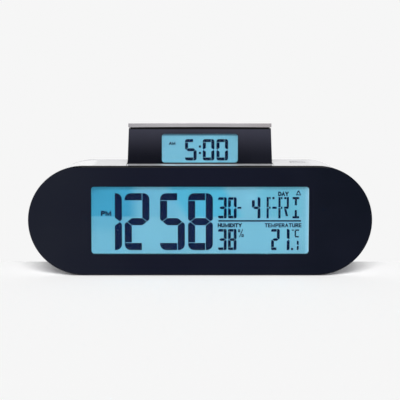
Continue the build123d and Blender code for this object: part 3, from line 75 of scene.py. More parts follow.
class Finish:
    """A Principled material whose colour, roughness and bump are built from a few named steps."""

    def __init__(self, name, colour, roughness, metallic=0.0, specular=0.5):
        self.material = bpy.data.materials.new(name)
        self.material.use_nodes = True
        self.tree = self.material.node_tree
        self.shader = self.tree.nodes["Principled BSDF"]
        self.base_colour = (*colour, 1.0)
        self.base_roughness = roughness
        self.set("Base Color", self.base_colour)
        self.set("Roughness", roughness)
        self.set("Metallic", metallic)
        self.set("Specular IOR Level", specular)
        self.colour = None
        self.place = self.node("ShaderNodeTexCoord").outputs["Object"]

    def node(self, kind):
        return self.tree.nodes.new(kind)

    def link(self, source, target):
        self.tree.links.new(source, target)

    def set(self, socket, value):
        self.shader.inputs[socket].default_value = value

    def stretched(self, scale):
        """The object's coordinates, in metres, stretched by scale along each axis."""
        mapping = self.node("ShaderNodeMapping")
        mapping.inputs["Scale"].default_value = scale
        self.link(self.place, mapping.inputs["Vector"])
        return mapping.outputs["Vector"]

    def noise(self, size, stretch=(1, 1, 1)):
        """Cloudy noise whose blotches are about size metres wide, longer where stretch is below 1."""
        texture = self.node("ShaderNodeTexNoise")
        texture.inputs["Scale"].default_value = 1 / size
        texture.inputs["Detail"].default_value = NOISE_DETAIL
        self.link(self.stretched(stretch), texture.inputs["Vector"])
        return texture.outputs["Fac"]

    def along(self, axis):
        """The object's own coordinate along x, y or z, in metres."""
        split = self.node("ShaderNodeSeparateXYZ")
        self.link(self.place, split.inputs["Vector"])
        return split.outputs[axis.upper()]

    def blended(self, value, low, high, at_low=0.0, at_high=1.0):
        """value from low to high turned smoothly into a number from at_low to at_high."""
        ranged = self.node("ShaderNodeMapRange")
        ranged.interpolation_type = "SMOOTHSTEP"
        self.link(value, ranged.inputs["Value"])
        ranged.inputs["From Min"].default_value = low
        ranged.inputs["From Max"].default_value = high
        ranged.inputs["To Min"].default_value = at_low
        ranged.inputs["To Max"].default_value = at_high
        return ranged.outputs["Result"]

    def maths(self, operation, first, second=0.0):
        """A Math node; second may be a number or another node's output."""
        step = self.node("ShaderNodeMath")
        step.operation = operation
        self.link(first, step.inputs[0])
        if isinstance(second, (int, float)):
            step.inputs[1].default_value = second
        else:
            self.link(second, step.inputs[1])
        return step.outputs["Value"]

    def both(self, first, second):
        """1 where both outputs are 1, and 0 where either is 0."""
        return self.maths("MULTIPLY", first, second)

    def away(self, value, middle):
        """How far value is from middle, either way."""
        return self.maths("ABSOLUTE", self.maths("SUBTRACT", value, middle))

    def around(self, value, middle, far, near):
        """1 within near of the middle, 0 beyond far."""
        return self.blended(self.away(value, middle), far, near)

    def tint(self, factor, colour):
        """Mixes colour into the base colour by factor."""
        mix = self.node("ShaderNodeMix")
        mix.data_type = "RGBA"
        self.link(factor, mix.inputs["Factor"])
        under, over = mix.inputs[6], mix.inputs[7]
        if self.colour is None:
            under.default_value = self.base_colour
        else:
            self.link(self.colour, under)
        over.default_value = (*colour, 1.0)
        self.colour = mix.outputs[2]
        self.link(self.colour, self.shader.inputs["Base Color"])

    def mottle(self, size, colour, share=1.0, stretch=(1, 1, 1)):
        """Patches of another colour, about size metres wide."""
        self.tint(self.blended(self.noise(size, stretch), *MOTTLE_RANGE, 0.0, share), colour)

    def uneven_gloss(self, size, spread, stretch=(1, 1, 1)):
        """Roughness that wanders by spread either way."""
        low = max(self.base_roughness - spread, LEAST_ROUGHNESS)
        high = self.base_roughness + spread
        wandering = self.blended(self.noise(size, stretch), *GLOSS_RANGE, low, high)
        self.link(wandering, self.shader.inputs["Roughness"])

    def bump(self, height, depth):
        """Raises the surface by depth metres where height is 1."""
        bump = self.node("ShaderNodeBump")
        bump.inputs["Strength"].default_value = 1.0
        bump.inputs["Distance"].default_value = depth
        self.link(height, bump.inputs["Height"])
        self.link(bump.outputs["Normal"], self.shader.inputs["Normal"])

    def grain(self, size, depth, stretch=(1, 1, 1)):
        """A moulded or brushed grain of bumps about size metres wide."""
        self.bump(self.noise(size, stretch), depth)


# ---------------------------------------------------------------- finishes

BACKLIGHT = 0.5  # share of a display's brightness that is its own light
TOP_BUTTON_FLANGE = 0.6 * MM  # hidden rim round the top button's face


def panel_gloss():
    """Piano-black front with a navy cast, with painted light making it lighter to the left, painted shade
    making it darker to the right, and painted shade making it black at its top.
    """
    finish = Finish("panel_gloss", (0.0033, 0.0042, 0.0105), roughness=0.06, specular=0.05)
    across = finish.along("x")
    upper_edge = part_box("front_panel")[1].z - 1 * MM
    painted_light_left = finish.blended(across, -20 * MM, -85 * MM)
    painted_shading_right = finish.blended(across, 0, 80 * MM)
    top_edge_painted_shade = finish.blended(finish.along("z"), upper_edge, upper_edge + 0.3 * MM)
    # painted light on the left and painted shade on the right, where the light falls unevenly across the
    # front
    finish.tint(painted_light_left, (0.0068, 0.0081, 0.0136))
    finish.tint(painted_shading_right, (0.0018, 0.0029, 0.0068))
    finish.mottle(size=30 * MM, colour=(0.0041, 0.005, 0.0112), share=0.5)
    # painted shade: a near-black band along the top edge
    finish.tint(top_edge_painted_shade, (0.0002, 0.0002, 0.0006))
    finish.uneven_gloss(size=12 * MM, spread=0.02)
    finish.grain(size=1.6 * MM, depth=0.0006 * MM)
    return finish.material


def case_plastic():
    """Glossy white plastic of the case with painted light and shade: a greyer flat top with painted shade
    darkening it to the rear, between shoulders with a painted highlight to the left and painted shade at
    their rear ends, and painted light on the ledge before the block and along the front.
    """
    finish = Finish("case_plastic", (0.69, 0.69, 0.715), roughness=0.2)
    finish.mottle(size=16 * MM, colour=(0.66, 0.665, 0.70), share=0.6)
    shell_low, shell_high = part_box("case_shell")
    block_low, block_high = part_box("popup_housing")
    flat_middle = 1.5 * MM
    flat_half = 57.5 * MM
    reach = 60 * MM
    across = finish.along("x")
    rear = finish.along("y")
    aside = finish.away(across, flat_middle)
    top = finish.blended(finish.along("z"), shell_high.z - 7.7 * MM, shell_high.z - 2.7 * MM)
    flat = finish.both(top, finish.blended(aside, flat_half + 2 * MM, flat_half - 2 * MM))
    shoulder = finish.both(top, finish.blended(aside, flat_half - 1.5 * MM, flat_half + 1.5 * MM))
    along_block = finish.around(across, 0, far=block_high.x + 2.2 * MM, near=block_high.x + 1.2 * MM)
    ledge = finish.both(flat, along_block)
    rear_painted_shade = finish.blended(rear, block_low.y + 3 * MM, shell_high.y + 5 * MM)
    painted_highlight_left = finish.blended(across, reach, -reach, at_low=0.4)
    shoulder_end_painted_shade = finish.blended(rear, shell_high.y - 4 * MM, shell_high.y + 1 * MM)
    painted_light_before_block = finish.blended(rear, block_low.y, block_low.y - 1.5 * MM)
    front_painted_highlight = finish.blended(rear, shell_low.y + 4.5 * MM, shell_low.y + 2 * MM)
    # painted shade: the flat top greyer than the shoulders, and darker towards the rear
    finish.tint(flat, (0.625, 0.625, 0.645))
    finish.tint(finish.both(flat, rear_painted_shade), (0.575, 0.58, 0.6))
    # painted highlight: whiter shoulders, most of all on the left
    finish.tint(finish.both(shoulder, painted_highlight_left), (0.9, 0.9, 0.91))
    # painted shade: darker rear ends of the shoulders, where the rounded ends turn away
    finish.tint(finish.both(shoulder, shoulder_end_painted_shade), (0.42, 0.43, 0.46))
    # painted light: the ledge in front of the block a little paler and bluer
    finish.tint(finish.both(ledge, painted_light_before_block), (0.64, 0.642, 0.67))
    # painted highlight: a paler, bluish strip along the front of the flat top
    finish.tint(finish.both(flat, front_painted_highlight), (0.76, 0.775, 0.8))
    finish.uneven_gloss(size=5 * MM, spread=0.03)
    finish.grain(size=0.9 * MM, depth=0.002 * MM)
    return finish.material


def popup_plastic():
    """Black plastic of the pop-up block, with painted light making it paler towards its top and a little to
    the right, and a painted shadow in the groove under the cap.
    """
    finish = Finish("popup_plastic", (0.0002, 0.0005, 0.0035), roughness=0.16, specular=0.1)
    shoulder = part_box("popup_cap")[0].z - 1.1 * MM
    height = finish.along("z")
    painted_shading_right = finish.blended(finish.along("x"), 12 * MM, 34 * MM)
    painted_light_towards_top = finish.blended(height, shoulder - 16 * MM, shoulder + 4 * MM)
    groove_painted_shadow = finish.blended(height, shoulder, shoulder + 0.2 * MM)
    # painted light: paler to the right and towards the top
    finish.tint(painted_shading_right, (0.0025, 0.003, 0.007))
    finish.tint(painted_light_towards_top, (0.026, 0.0265, 0.039))
    finish.mottle(size=8 * MM, colour=(0.006, 0.006, 0.011), share=0.12)
    # painted shadow: the groove under the cap near black
    finish.tint(groove_painted_shadow, (0.0005, 0.0005, 0.001))
    finish.uneven_gloss(size=4 * MM, spread=0.04)
    finish.grain(size=0.5 * MM, depth=0.002 * MM)
    return finish.material


def silver_cap():
    """Satin silver paint, with a fine brushing along the cap, and painted shade making it darker towards both
    ends.
    """
    finish = Finish("silver_cap", (0.24, 0.232, 0.243), roughness=0.42, metallic=0.5)
    across = finish.along("x")
    start, end = 18 * MM, 36 * MM
    # painted shade: darker towards both ends of the cap
    finish.tint(finish.blended(across, start, end), (0.195, 0.178, 0.186))
    finish.tint(finish.blended(across, -start, -end), (0.192, 0.184, 0.196))
    finish.mottle(size=0.5 * MM, colour=(0.28, 0.27, 0.28), share=0.35, stretch=(0.04, 1, 1))
    finish.uneven_gloss(size=1.5 * MM, spread=0.07, stretch=(0.05, 1, 1))
    finish.grain(size=0.25 * MM, depth=0.004 * MM, stretch=(0.03, 1, 1))
    return finish.material


def clear_lens():
    """Clear acrylic with the faintest moulding waves."""
    finish = Finish("clear_lens", (0.97, 0.985, 1.0), roughness=0.015)
    finish.set("Transmission Weight", 1.0)
    finish.set("IOR", 1.12)
    finish.mottle(size=20 * MM, colour=(0.95, 0.975, 0.995), share=0.6)
    finish.grain(size=9 * MM, depth=0.0004 * MM)
    return finish.material


def lcd_panel():
    """Backlit displays; the main one is deeper blue at its left and upper middle, with painted light making
    it paler at its right end, and the pop-up one has a painted shadow along its top edge.
    """
    finish = Finish("lcd_panel", (0.141, 0.375, 0.49), roughness=0.35, specular=0.05)
    finish.mottle(size=9 * MM, colour=(0.166, 0.415, 0.53), share=0.35, stretch=(1, 1, 0.35))
    across = finish.along("x")
    height = finish.along("z")
    lean = 0.6  # how far the slanting patch goes to the left as it rises by 1
    slant = finish.maths("ADD", across, finish.maths("MULTIPLY", height, lean))
    parting = (30.2 * MM, 31.5 * MM)  # heights between the lower and the upper patches
    upper = finish.both(finish.blended(height, *parting), finish.blended(height, 56 * MM, 50 * MM))
    lower = finish.both(finish.blended(height, *reversed(parting)),
                        finish.blended(height, 20 * MM, 28 * MM, at_low=0.4))
    second_figure = finish.around(across, -24 * MM, far=16 * MM, near=10 * MM)
    left_end = finish.blended(across, -31.5 * MM, -38.5 * MM)
    slanting_middle = finish.around(slant, 25.8 * MM, far=17.5 * MM, near=11.5 * MM)
    upper_right = finish.around(across, 41.5 * MM, far=14 * MM, near=8 * MM)
    lower_left = finish.blended(across, -30 * MM, -45 * MM)
    finish.tint(finish.both(second_figure, upper), (0.114, 0.348, 0.475))
    finish.tint(finish.both(left_end, upper), (0.036, 0.259, 0.408))
    finish.tint(finish.both(slanting_middle, upper), (0.064, 0.35, 0.496))
    finish.tint(finish.both(upper_right, upper), (0.112, 0.36, 0.474))
    finish.tint(finish.both(lower_left, lower), (0.094, 0.322, 0.448))
    right_painted_light = finish.blended(across, 54.6 * MM, 56.4 * MM)
    right_rim_painted_light = finish.blended(across, 56.6 * MM, 56.9 * MM)
    popup_top_painted_shadow = finish.blended(height, 72.2 * MM, 73.2 * MM)
    # painted light: a paler right end and a bright rim along the right edge
    finish.tint(right_painted_light, (0.205, 0.47, 0.615))
    finish.tint(right_rim_painted_light, (0.42, 0.62, 0.72))
    # painted shadow: a darker band along the top edge of the pop-up display
    finish.tint(popup_top_painted_shadow, (0.05, 0.14, 0.2))
    finish.link(finish.colour, finish.shader.inputs["Emission Color"])
    finish.set("Emission Strength", BACKLIGHT)
    dim = finish.node("ShaderNodeMix")
    dim.data_type = "RGBA"
    dim.inputs["Factor"].default_value = BACKLIGHT
    finish.link(finish.colour, dim.inputs[6])
    dim.inputs[7].default_value = (0, 0, 0, 1)
    finish.link(dim.outputs[2], finish.shader.inputs["Base Color"])
    finish.grain(size=0.3 * MM, depth=0.0006 * MM)
    return finish.material


def lcd_ink():
    """Dark navy of the display's figures, slightly purple in places."""
    finish = Finish("lcd_ink", (0.0001, 0.0052, 0.0275), roughness=0.5, specular=0.04)
    finish.mottle(size=7 * MM, colour=(0.0012, 0.0046, 0.0265), share=0.8)
    finish.grain(size=0.2 * MM, depth=0.0005 * MM)
    return finish.material


def light_guide():
    """Milky light guide behind a display, with moulded dots."""
    finish = Finish("light_guide", (0.72, 0.82, 0.86), roughness=0.3)
    finish.mottle(size=1.2 * MM, colour=(0.86, 0.93, 0.95), share=0.8)
    finish.set("Emission Color", (0.55, 0.8, 0.95, 1.0))
    finish.set("Emission Strength", 0.15)
    finish.grain(size=0.8 * MM, depth=0.05 * MM)
    return finish.material


def contact_rubber():
    """Pink and black layered rubber that joins a display to its board."""
    finish = Finish("contact_rubber", (0.62, 0.36, 0.36), roughness=0.7)
    stripes = finish.node("ShaderNodeTexWave")
    stripes.inputs["Scale"].default_value = 700
    finish.link(finish.place, stripes.inputs["Vector"])
    finish.tint(finish.blended(stripes.outputs["Fac"], 0.45, 0.55), (0.03, 0.03, 0.03))
    finish.grain(size=0.4 * MM, depth=0.01 * MM)
    return finish.material


def inner_plastic():
    """White moulding used inside, matt and finely spark-eroded."""
    finish = Finish("inner_plastic", (0.66, 0.67, 0.68), roughness=0.5)
    finish.mottle(size=6 * MM, colour=(0.58, 0.59, 0.61), share=0.7)
    finish.uneven_gloss(size=3 * MM, spread=0.08)
    finish.grain(size=0.35 * MM, depth=0.01 * MM)
    return finish.material


def circuit_board():
    """Green solder mask over a net of copper tracks."""
    finish = Finish("circuit_board", (0.016, 0.13, 0.045), roughness=0.35)
    tracks = finish.node("ShaderNodeTexBrick")
    tracks.inputs["Scale"].default_value = 120
    tracks.inputs["Mortar Size"].default_value = 0.05
    upright = finish.node("ShaderNodeMapping")
    upright.inputs["Rotation"].default_value = (math.radians(90), 0, 0)
    finish.link(finish.place, upright.inputs["Vector"])
    finish.link(upright.outputs["Vector"], tracks.inputs["Vector"])
    finish.tint(tracks.outputs["Fac"], (0.05, 0.26, 0.09))
    finish.mottle(size=10 * MM, colour=(0.012, 0.1, 0.035), share=0.6)
    finish.bump(tracks.outputs["Fac"], depth=0.03 * MM)
    return finish.material


def epoxy():
    """Black moulded epoxy and hard plastic of electronic parts."""
    finish = Finish("epoxy", (0.018, 0.018, 0.02), roughness=0.5)
    finish.mottle(size=2 * MM, colour=(0.035, 0.035, 0.037), share=0.7)
    finish.grain(size=0.3 * MM, depth=0.02 * MM)
    return finish.material


def steel():
    """Bright zinc-plated steel with fine drawing marks and a slightly yellow bloom."""
    finish = Finish("steel", (0.62, 0.62, 0.61), roughness=0.28, metallic=1.0)
    finish.mottle(size=3 * MM, colour=(0.54, 0.53, 0.48), share=0.7)
    finish.uneven_gloss(size=1 * MM, spread=0.1)
    finish.grain(size=0.2 * MM, depth=0.004 * MM, stretch=(1, 1, 0.1))
    return finish.material


def foot_rubber():
    """Dark grey rubber with a dusty bloom."""
    finish = Finish("foot_rubber", (0.03, 0.03, 0.033), roughness=0.8, specular=0.3)
    finish.mottle(size=2.5 * MM, colour=(0.06, 0.06, 0.065), share=0.6)
    finish.grain(size=0.35 * MM, depth=0.03 * MM)
    return finish.material


def battery_sleeve():
    """Plastic sleeve of the cells: black body and a copper-coloured end."""
    finish = Finish("battery_sleeve", (0.02, 0.02, 0.025), roughness=0.3)
    first_end = 2.2 * MM
    second_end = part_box("batteries")[1].x
    copper = (36.5 * MM, 37 * MM)
    repeat = finish.node("ShaderNodeMath")
    repeat.operation = "WRAP"
    finish.link(finish.along("x"), repeat.inputs[0])
    repeat.inputs[1].default_value = second_end
    repeat.inputs[2].default_value = first_end
    finish.tint(finish.blended(repeat.outputs["Value"], *copper), (0.55, 0.3, 0.13))
    finish.mottle(size=6 * MM, colour=(0.06, 0.05, 0.05), share=0.3)
    finish.uneven_gloss(size=4 * MM, spread=0.06)
    finish.grain(size=1 * MM, depth=0.004 * MM)
    return finish.material


def lead_insulation():
    """Red sleeve of the battery wires."""
    finish = Finish("lead_insulation", (0.45, 0.03, 0.025), roughness=0.42)
    finish.mottle(size=3 * MM, colour=(0.3, 0.02, 0.02), share=0.6)
    finish.grain(size=0.5 * MM, depth=0.01 * MM)
    return finish.material


def button_plastic():
    """Grey satin plastic of the buttons, a little polished by fingers in patches."""
    finish = Finish("button_plastic", (0.35, 0.36, 0.38), roughness=0.34)
    finish.mottle(size=3 * MM, colour=(0.41, 0.42, 0.44), share=0.6)
    finish.uneven_gloss(size=2 * MM, spread=0.1)
    finish.grain(size=0.3 * MM, depth=0.006 * MM)
    return finish.material


def legend_print():
    """Grey ink of the words printed on the back cover."""
    finish = Finish("legend_print", (0.09, 0.09, 0.11), roughness=0.5)
    finish.mottle(size=0.6 * MM, colour=(0.14, 0.14, 0.16), share=0.6)
    finish.grain(size=0.2 * MM, depth=0.001 * MM)
    return finish.material


def key_plastic():
    """White plastic of the top button, with painted shade making it greyer at its front edge."""
    finish = Finish("key_plastic", (0.56, 0.56, 0.58), roughness=0.25)
    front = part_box("top_button")[0].y + TOP_BUTTON_FLANGE
    front_painted_shade = finish.blended(finish.along("y"), front + 0.4 * MM, front + 0.2 * MM)
    finish.mottle(size=3 * MM, colour=(0.6, 0.6, 0.62), share=0.6)
    # painted shade: a greyer band along the front edge
    finish.tint(front_painted_shade, (0.36, 0.36, 0.38))
    finish.grain(size=0.5 * MM, depth=0.002 * MM)
    return finish.material


def key_print():
    """Grey ink of the marks on the top button."""
    finish = Finish("key_print", (0.2, 0.2, 0.22), roughness=0.4)
    finish.mottle(size=0.5 * MM, colour=(0.26, 0.26, 0.28), share=0.6)
    finish.grain(size=0.2 * MM, depth=0.001 * MM)
    return finish.material


FINISHES = {make.__name__: make() for make in (
    panel_gloss, case_plastic, popup_plastic, silver_cap, clear_lens, lcd_panel, lcd_ink, light_guide,
    contact_rubber, inner_plastic, circuit_board, epoxy, steel, foot_rubber, battery_sleeve,
    lead_insulation, button_plastic, legend_print, key_plastic, key_print)}


def dress(piece, finish):
    """Gives a piece one finish all over."""
    piece.data.materials.clear()
    piece.data.materials.append(FINISHES[finish])


def dress_nodes():
    """Every CAD node takes the finish that the record names, and the top button its own shade of white."""
    for part in frame["record"]["subparts"]:
        dress(frame["nodes"][part["node"]], part["material_slot"])
    dress(frame["nodes"]["top_button"], "key_plastic")


# ---------------------------------------------------------------- meshes


def add_mesh(name, mesh, body, finish):
    """Links a mesh as a piece that rides on a CAD body."""
    piece = bpy.data.objects.new(name, mesh)
    bpy.context.scene.collection.objects.link(piece)
    dress(piece, finish)
    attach(piece, body)
    return piece


def skin(build, rows, closed=False):
    """Joins rows of vertices, each one loop of a sweep, by quads; closed sweeps meet their own start."""
    pairs = list(zip(rows, rows[1:]))
    if closed:
        pairs.append((rows[-1], rows[0]))
    else:
        build.faces.new(rows[0])
        build.faces.new(rows[-1])
    for lower, upper in pairs:
        for side in range(len(lower)):
            beside = (side + 1) % len(lower)
            build.faces.new((lower[side], lower[beside], upper[beside], upper[side]))


def finished(build, name):
    """Turns a bmesh into a mesh with its faces outwards."""
    bmesh.ops.recalc_face_normals(build, faces=build.faces)
    mesh = bpy.data.meshes.new(name)
    build.to_mesh(mesh)
    build.free()
    return mesh


# ---------------------------------------------------------------- printed words and signs

PRINT = 0.03 * MM  # how thick a print is
FONT_WEIGHT = 0.03  # added to each side of a rear word's strokes, in the font's units
MITRE_LIMIT = 0.5  # keeps the outer corner of a sharp bend short
LETTER_SPACE = 0.42  # between two capitals, where a capital is 1 high

# Capital letters of the displays: width, then lines through (across, up), one high
CAPITALS = {
    "A": (0.9, [[(0, 0), (0.45, 1), (0.9, 0)], [(0.24, 0.33), (0.66, 0.33)]]),
    "D": (0.8, [[(0, 0), (0, 1), (0.45, 1), (0.8, 0.7), (0.8, 0.3), (0.45, 0), (0, 0)]]),
    "E": (0.65, [[(0.65, 1), (0, 1), (0, 0), (0.65, 0)], [(0.15, 0.5), (0.6, 0.5)]]),
    "H": (0.78, [[(0, 0), (0, 1)], [(0.78, 0), (0.78, 1)], [(0.15, 0.5), (0.63, 0.5)]]),
    "I": (0.0, [[(0, 0), (0, 1)]]),
    "M": (1.1, [[(0, 0), (0, 1), (0.55, 0.05), (1.1, 1), (1.1, 0)]]),
    "P": (0.68, [[(0, 0), (0, 1), (0.5, 1), (0.68, 0.85), (0.68, 0.6), (0.5, 0.45), (0.15, 0.45)]]),
    "R": (0.72, [[(0, 0), (0, 1), (0.5, 1), (0.7, 0.87), (0.7, 0.63), (0.5, 0.5), (0.15, 0.5)],
                 [(0.42, 0.38), (0.72, 0)]]),
    "T": (0.75, [[(0, 1), (0.75, 1)], [(0.375, 0.85), (0.375, 0)]]),
    "U": (0.76, [[(0, 1), (0, 0.2), (0.2, 0), (0.56, 0), (0.76, 0.2), (0.76, 1)]]),
    "Y": (0.85, [[(0, 1), (0.425, 0.45), (0.85, 1)], [(0.425, 0.3), (0.425, 0)]]),
}

# Scales of the photograph at the displays, and the pixel and the height that belong together on each
PHOTO_MIDDLE = 200.2
MAIN_SCALE = 0.525 * MM
MAIN_ROW = 220.7
MAIN_HEIGHT = 28.95 * MM
POPUP_SCALE = 0.5323 * MM
POPUP_ROW = 127.91
POPUP_TOP = 77.0 * MM

# Words in the photograph: their edges and the thickness of their strokes, in its pixels
MAIN_WORDS = {
    "PM": {"left": 101.0, "right": 111.6, "top": 210.8, "bottom": 216.2, "stroke": 1.6},
    "DAY": {"left": 278.2, "right": 288.7, "top": 191.6, "bottom": 196.2, "stroke": 1.2},
    "HUMIDITY": {"left": 217.9, "right": 242.1, "top": 223.4, "bottom": 227.6, "stroke": 1.1},
    "TEMPERATURE": {"left": 264.9, "right": 301.7, "top": 223.4, "bottom": 227.6, "stroke": 0.95},
}
POPUP_WORDS = {
    "AM": {"left": 169.3, "right": 175.8, "top": 142.3, "bottom": 145.5, "stroke": 0.85},
}


def loop(left, right, top, bottom):
    """A closed line round a box of the photograph."""
    return [(left, top), (right, top), (right, bottom), (left, bottom), (left, top)]


# Signs of the main display: how thick their strokes are and lines through (column, row), in pixels
PERCENT_STROKE = 0.85
PERCENT_LINES = {
    "slash": [(242.8, 229.9), (239.8, 237.2)],
    "upper_ring": loop(left=238.7, right=240.0, top=230.1, bottom=232.1),
    "lower_ring": loop(left=242.1, right=243.5, top=234.9, bottom=236.9),
}
DEGREE_STROKE = 1.05
DEGREE_LINES = {"dot": [(292.6, 230.4), (293.8, 230.4)]}
CELSIUS_STROKE = 1.4
CELSIUS_LINES = {
    "top": [(296.2, 230.4), (298.5, 230.4)],
    "upper_left": [(295.6, 231.6), (295.6, 233.2)],
    "lower_left": [(295.6, 234.5), (295.6, 236.0)],
    "bottom": [(296.2, 237.1), (298.5, 237.1)],
}
BELL_STROKE = 0.95
BELL_LINES = {
    "body": [(297.0, 193.8), (297.5, 192.0), (299.5, 192.0), (300.0, 193.8)],
    "crown": [(298.1, 191.0), (298.9, 191.0)],
    "rim": [(296.4, 194.9), (300.6, 194.9)],
}


def on_main(column, row):
    """(x, z) on the main display of a pixel of the photograph."""
    return ((column - PHOTO_MIDDLE) * MAIN_SCALE, MAIN_HEIGHT + (MAIN_ROW - row) * MAIN_SCALE)


def on_popup(column, row):
    """(x, z) on the pop-up display of a pixel of the photograph."""
    return ((column - PHOTO_MIDDLE) * POPUP_SCALE, POPUP_TOP - (row - POPUP_ROW) * POPUP_SCALE)


def rails(line, width):
    """Left and right edge points, as (x, z) pairs, of a stroke of a given width along line."""
    closed = line[0] == line[-1]
    points = [Vector(point) for point in (line[:-1] if closed else line)]
    edges = []
    for here, point in enumerate(points):
        before = points[here - 1] if here or closed else None
        after = points[(here + 1) % len(points)] if here < len(points) - 1 or closed else None
        arriving = (point - before).normalized() if before else (after - point).normalized()
        leaving = (after - point).normalized() if after else arriving
        along = (arriving + leaving).normalized()
        aside = Vector((-along.y, along.x)) * width / 2 / max(along.dot(leaving), MITRE_LIMIT)
        end = Vector((0, 0)) if before and after else along * (width / 2 if before else -width / 2)
        edges.append((point + end + aside, point + end - aside))
    return edges, closed


def strokes(name, lines, width, y, body, finish, turned=None):
    """Printed strokes of one width along lines of (x, z), on the face at y, towards -Y; turned moves them."""
    build = bmesh.new()
    for line in lines:
        edges, closed = rails(line, width)
        rows = [[build.verts.new((left.x, y, left.y)), build.verts.new((right.x, y, right.y)),
                 build.verts.new((right.x, y - PRINT, right.y)), build.verts.new((left.x, y - PRINT, left.y))]
                for left, right in edges]
        skin(build, rows, closed)
    mesh = finished(build, name)
    if turned:
        mesh.transform(turned)
    add_mesh(name, mesh, body, finish)


def display_word(text, low, high, width, y, body):
    """A generic word in plain capitals on a display, filling low to high (x, z)."""
    lines = []
    start = 0
    for letter in text:
        advance, shape = CAPITALS[letter]
        lines += [[(start + across, up) for across, up in line] for line in shape]
        start += advance + LETTER_SPACE
    scale_x = (high[0] - low[0] - width) / (start - LETTER_SPACE)
    scale_z = high[1] - low[1] - width
    left, bottom = low[0] + width / 2, low[1] + width / 2
    placed = [[(left + across * scale_x, bottom + up * scale_z) for across, up in line] for line in lines]
    strokes(f"word_{text.lower()}", placed, width, y, body, "lcd_ink")


def display_words():
    """The small words of both displays, each where the photograph has it."""
    for words, place, scale, glass, body in (
            (MAIN_WORDS, on_main, MAIN_SCALE, "main_lcd_glass", "case"),
            (POPUP_WORDS, on_popup, POPUP_SCALE, "popup_lcd_glass", "popup")):
        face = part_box(glass)[0].y
        for text, spot in words.items():
            low = place(spot["left"], spot["bottom"])
            high = place(spot["right"], spot["top"])
            display_word(text, low, high, spot["stroke"] * scale, face, body)


def display_signs():
    """Percent sign, degree sign, the segment C and the small bell of the main display."""
    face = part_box("main_lcd_glass")[0].y
    for name, stroke, lines in (
            ("sign_percent", PERCENT_STROKE, PERCENT_LINES),
            ("sign_degree", DEGREE_STROKE, DEGREE_LINES),
            ("sign_c", CELSIUS_STROKE, CELSIUS_LINES),
            ("sign_bell", BELL_STROKE, BELL_LINES)):
        placed = [[on_main(*point) for point in line] for line in lines.values()]
        strokes(name, placed, stroke * MAIN_SCALE, face, "case", "lcd_ink")


def glyphs(words):
    """The words as a solid mesh that stands up in XZ and reads from -Y, with its front at y = -PRINT."""
    half = 0.5
    curve = bpy.data.curves.new("words", "FONT")
    curve.body = words
    curve.offset = FONT_WEIGHT
    curve.extrude = half
    curve.resolution_u = 3
    holder = bpy.data.objects.new("words", curve)
    bpy.context.scene.collection.objects.link(holder)
    bpy.context.view_layer.update()
    mesh = bpy.data.meshes.new_from_object(holder.evaluated_get(bpy.context.evaluated_depsgraph_get()))
    bpy.data.objects.remove(holder)
    for v in mesh.vertices:
        v.co = Vector((v.co.x, -(v.co.z + half) * PRINT, v.co.y))
    return mesh


def fit(mesh, low, high):
    """Stretches a flat mesh in X and Z so that it fills the box from low to high, both (x, z)."""
    xs = [v.co.x for v in mesh.vertices]
    zs = [v.co.z for v in mesh.vertices]
    for v in mesh.vertices:
        v.co.x = low[0] + (v.co.x - min(xs)) / (max(xs) - min(xs)) * (high[0] - low[0])
        v.co.z = low[1] + (v.co.z - min(zs)) / (max(zs) - min(zs)) * (high[1] - low[1])


def rear_words():
    """What each rear button does, printed under it on the back cover, to be read from behind."""
    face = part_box("back_cover")[1].y
    cap_height = 1.7 * MM
    letter_width = 0.62 * cap_height
    gap = 1.6 * MM
    for button in ("mode", "set", "up", "down", "alarm"):
        low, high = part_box(f"{button}_button")
        middle = (low.x + high.x) / 2
        half = letter_width * len(button) / 2
        top = low.z - gap
        mesh = glyphs(button.upper())
        fit(mesh, (-half, top - cap_height), (half, top))
        mesh.transform(Matrix.Translation((middle, face, 0)) @ Matrix.Rotation(math.pi, 4, "Z"))
        add_mesh(f"print_{button}", mesh, "case", "legend_print")


def button_marks():
    """A small lamp with rays, and a bar, printed on the face of the top button."""
    low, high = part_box("top_button")
    stroke = 0.6 * MM
    rays = 8
    lamp = Vector((low.x + TOP_BUTTON_FLANGE + 2.2 * MM, (low.y + high.y) / 2))
    inner_reach = Vector((1 * MM, 1.8 * MM))
    outer_reach = 1.7 * inner_reach
    lines = []
    for ray in range(rays):
        turn = Vector((math.cos(math.tau * ray / rays), math.sin(math.tau * ray / rays)))
        lines.append([tuple(lamp + turn * inner_reach), tuple(lamp + turn * outer_reach)])
    bar_length = 2.2 * MM
    bar_end = high.x - TOP_BUTTON_FLANGE - 0.9 * MM
    lines.append([(bar_end - bar_length, lamp.y), (bar_end, lamp.y)])
    turned = Matrix.Translation((0, 0, high.z)) @ Matrix.Rotation(math.radians(-90), 4, "X")
    strokes("print_top_button", lines, stroke, 0, "top_button", "key_print", turned)


# ---------------------------------------------------------------- springs and ribbon of the pop-up


def follow_popup(piece):
    """Gives a piece that stands on the guide's floor a mesh of its own."""
    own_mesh(piece)


def tube(name, points, radius):
    """A closed round wire that follows points."""
    sides = 10
    build = bmesh.new()
    rings = []
    for here, point in enumerate(points):
        before = points[max(here - 1, 0)]
        after = points[min(here + 1, len(points) - 1)]
        forward = (after - before).normalized()
        aside = forward.cross(Vector((0, 0, 1))).normalized()
        up = aside.cross(forward)
        ring = []
        for side in range(sides):
            turn = math.tau * side / sides
            ring.append(build.verts.new(point + radius * (math.cos(turn) * aside + math.sin(turn) * up)))
        rings.append(ring)
    skin(build, rings)
    for face in build.faces:
        face.smooth = len(face.verts) == 4
    return finished(build, name)


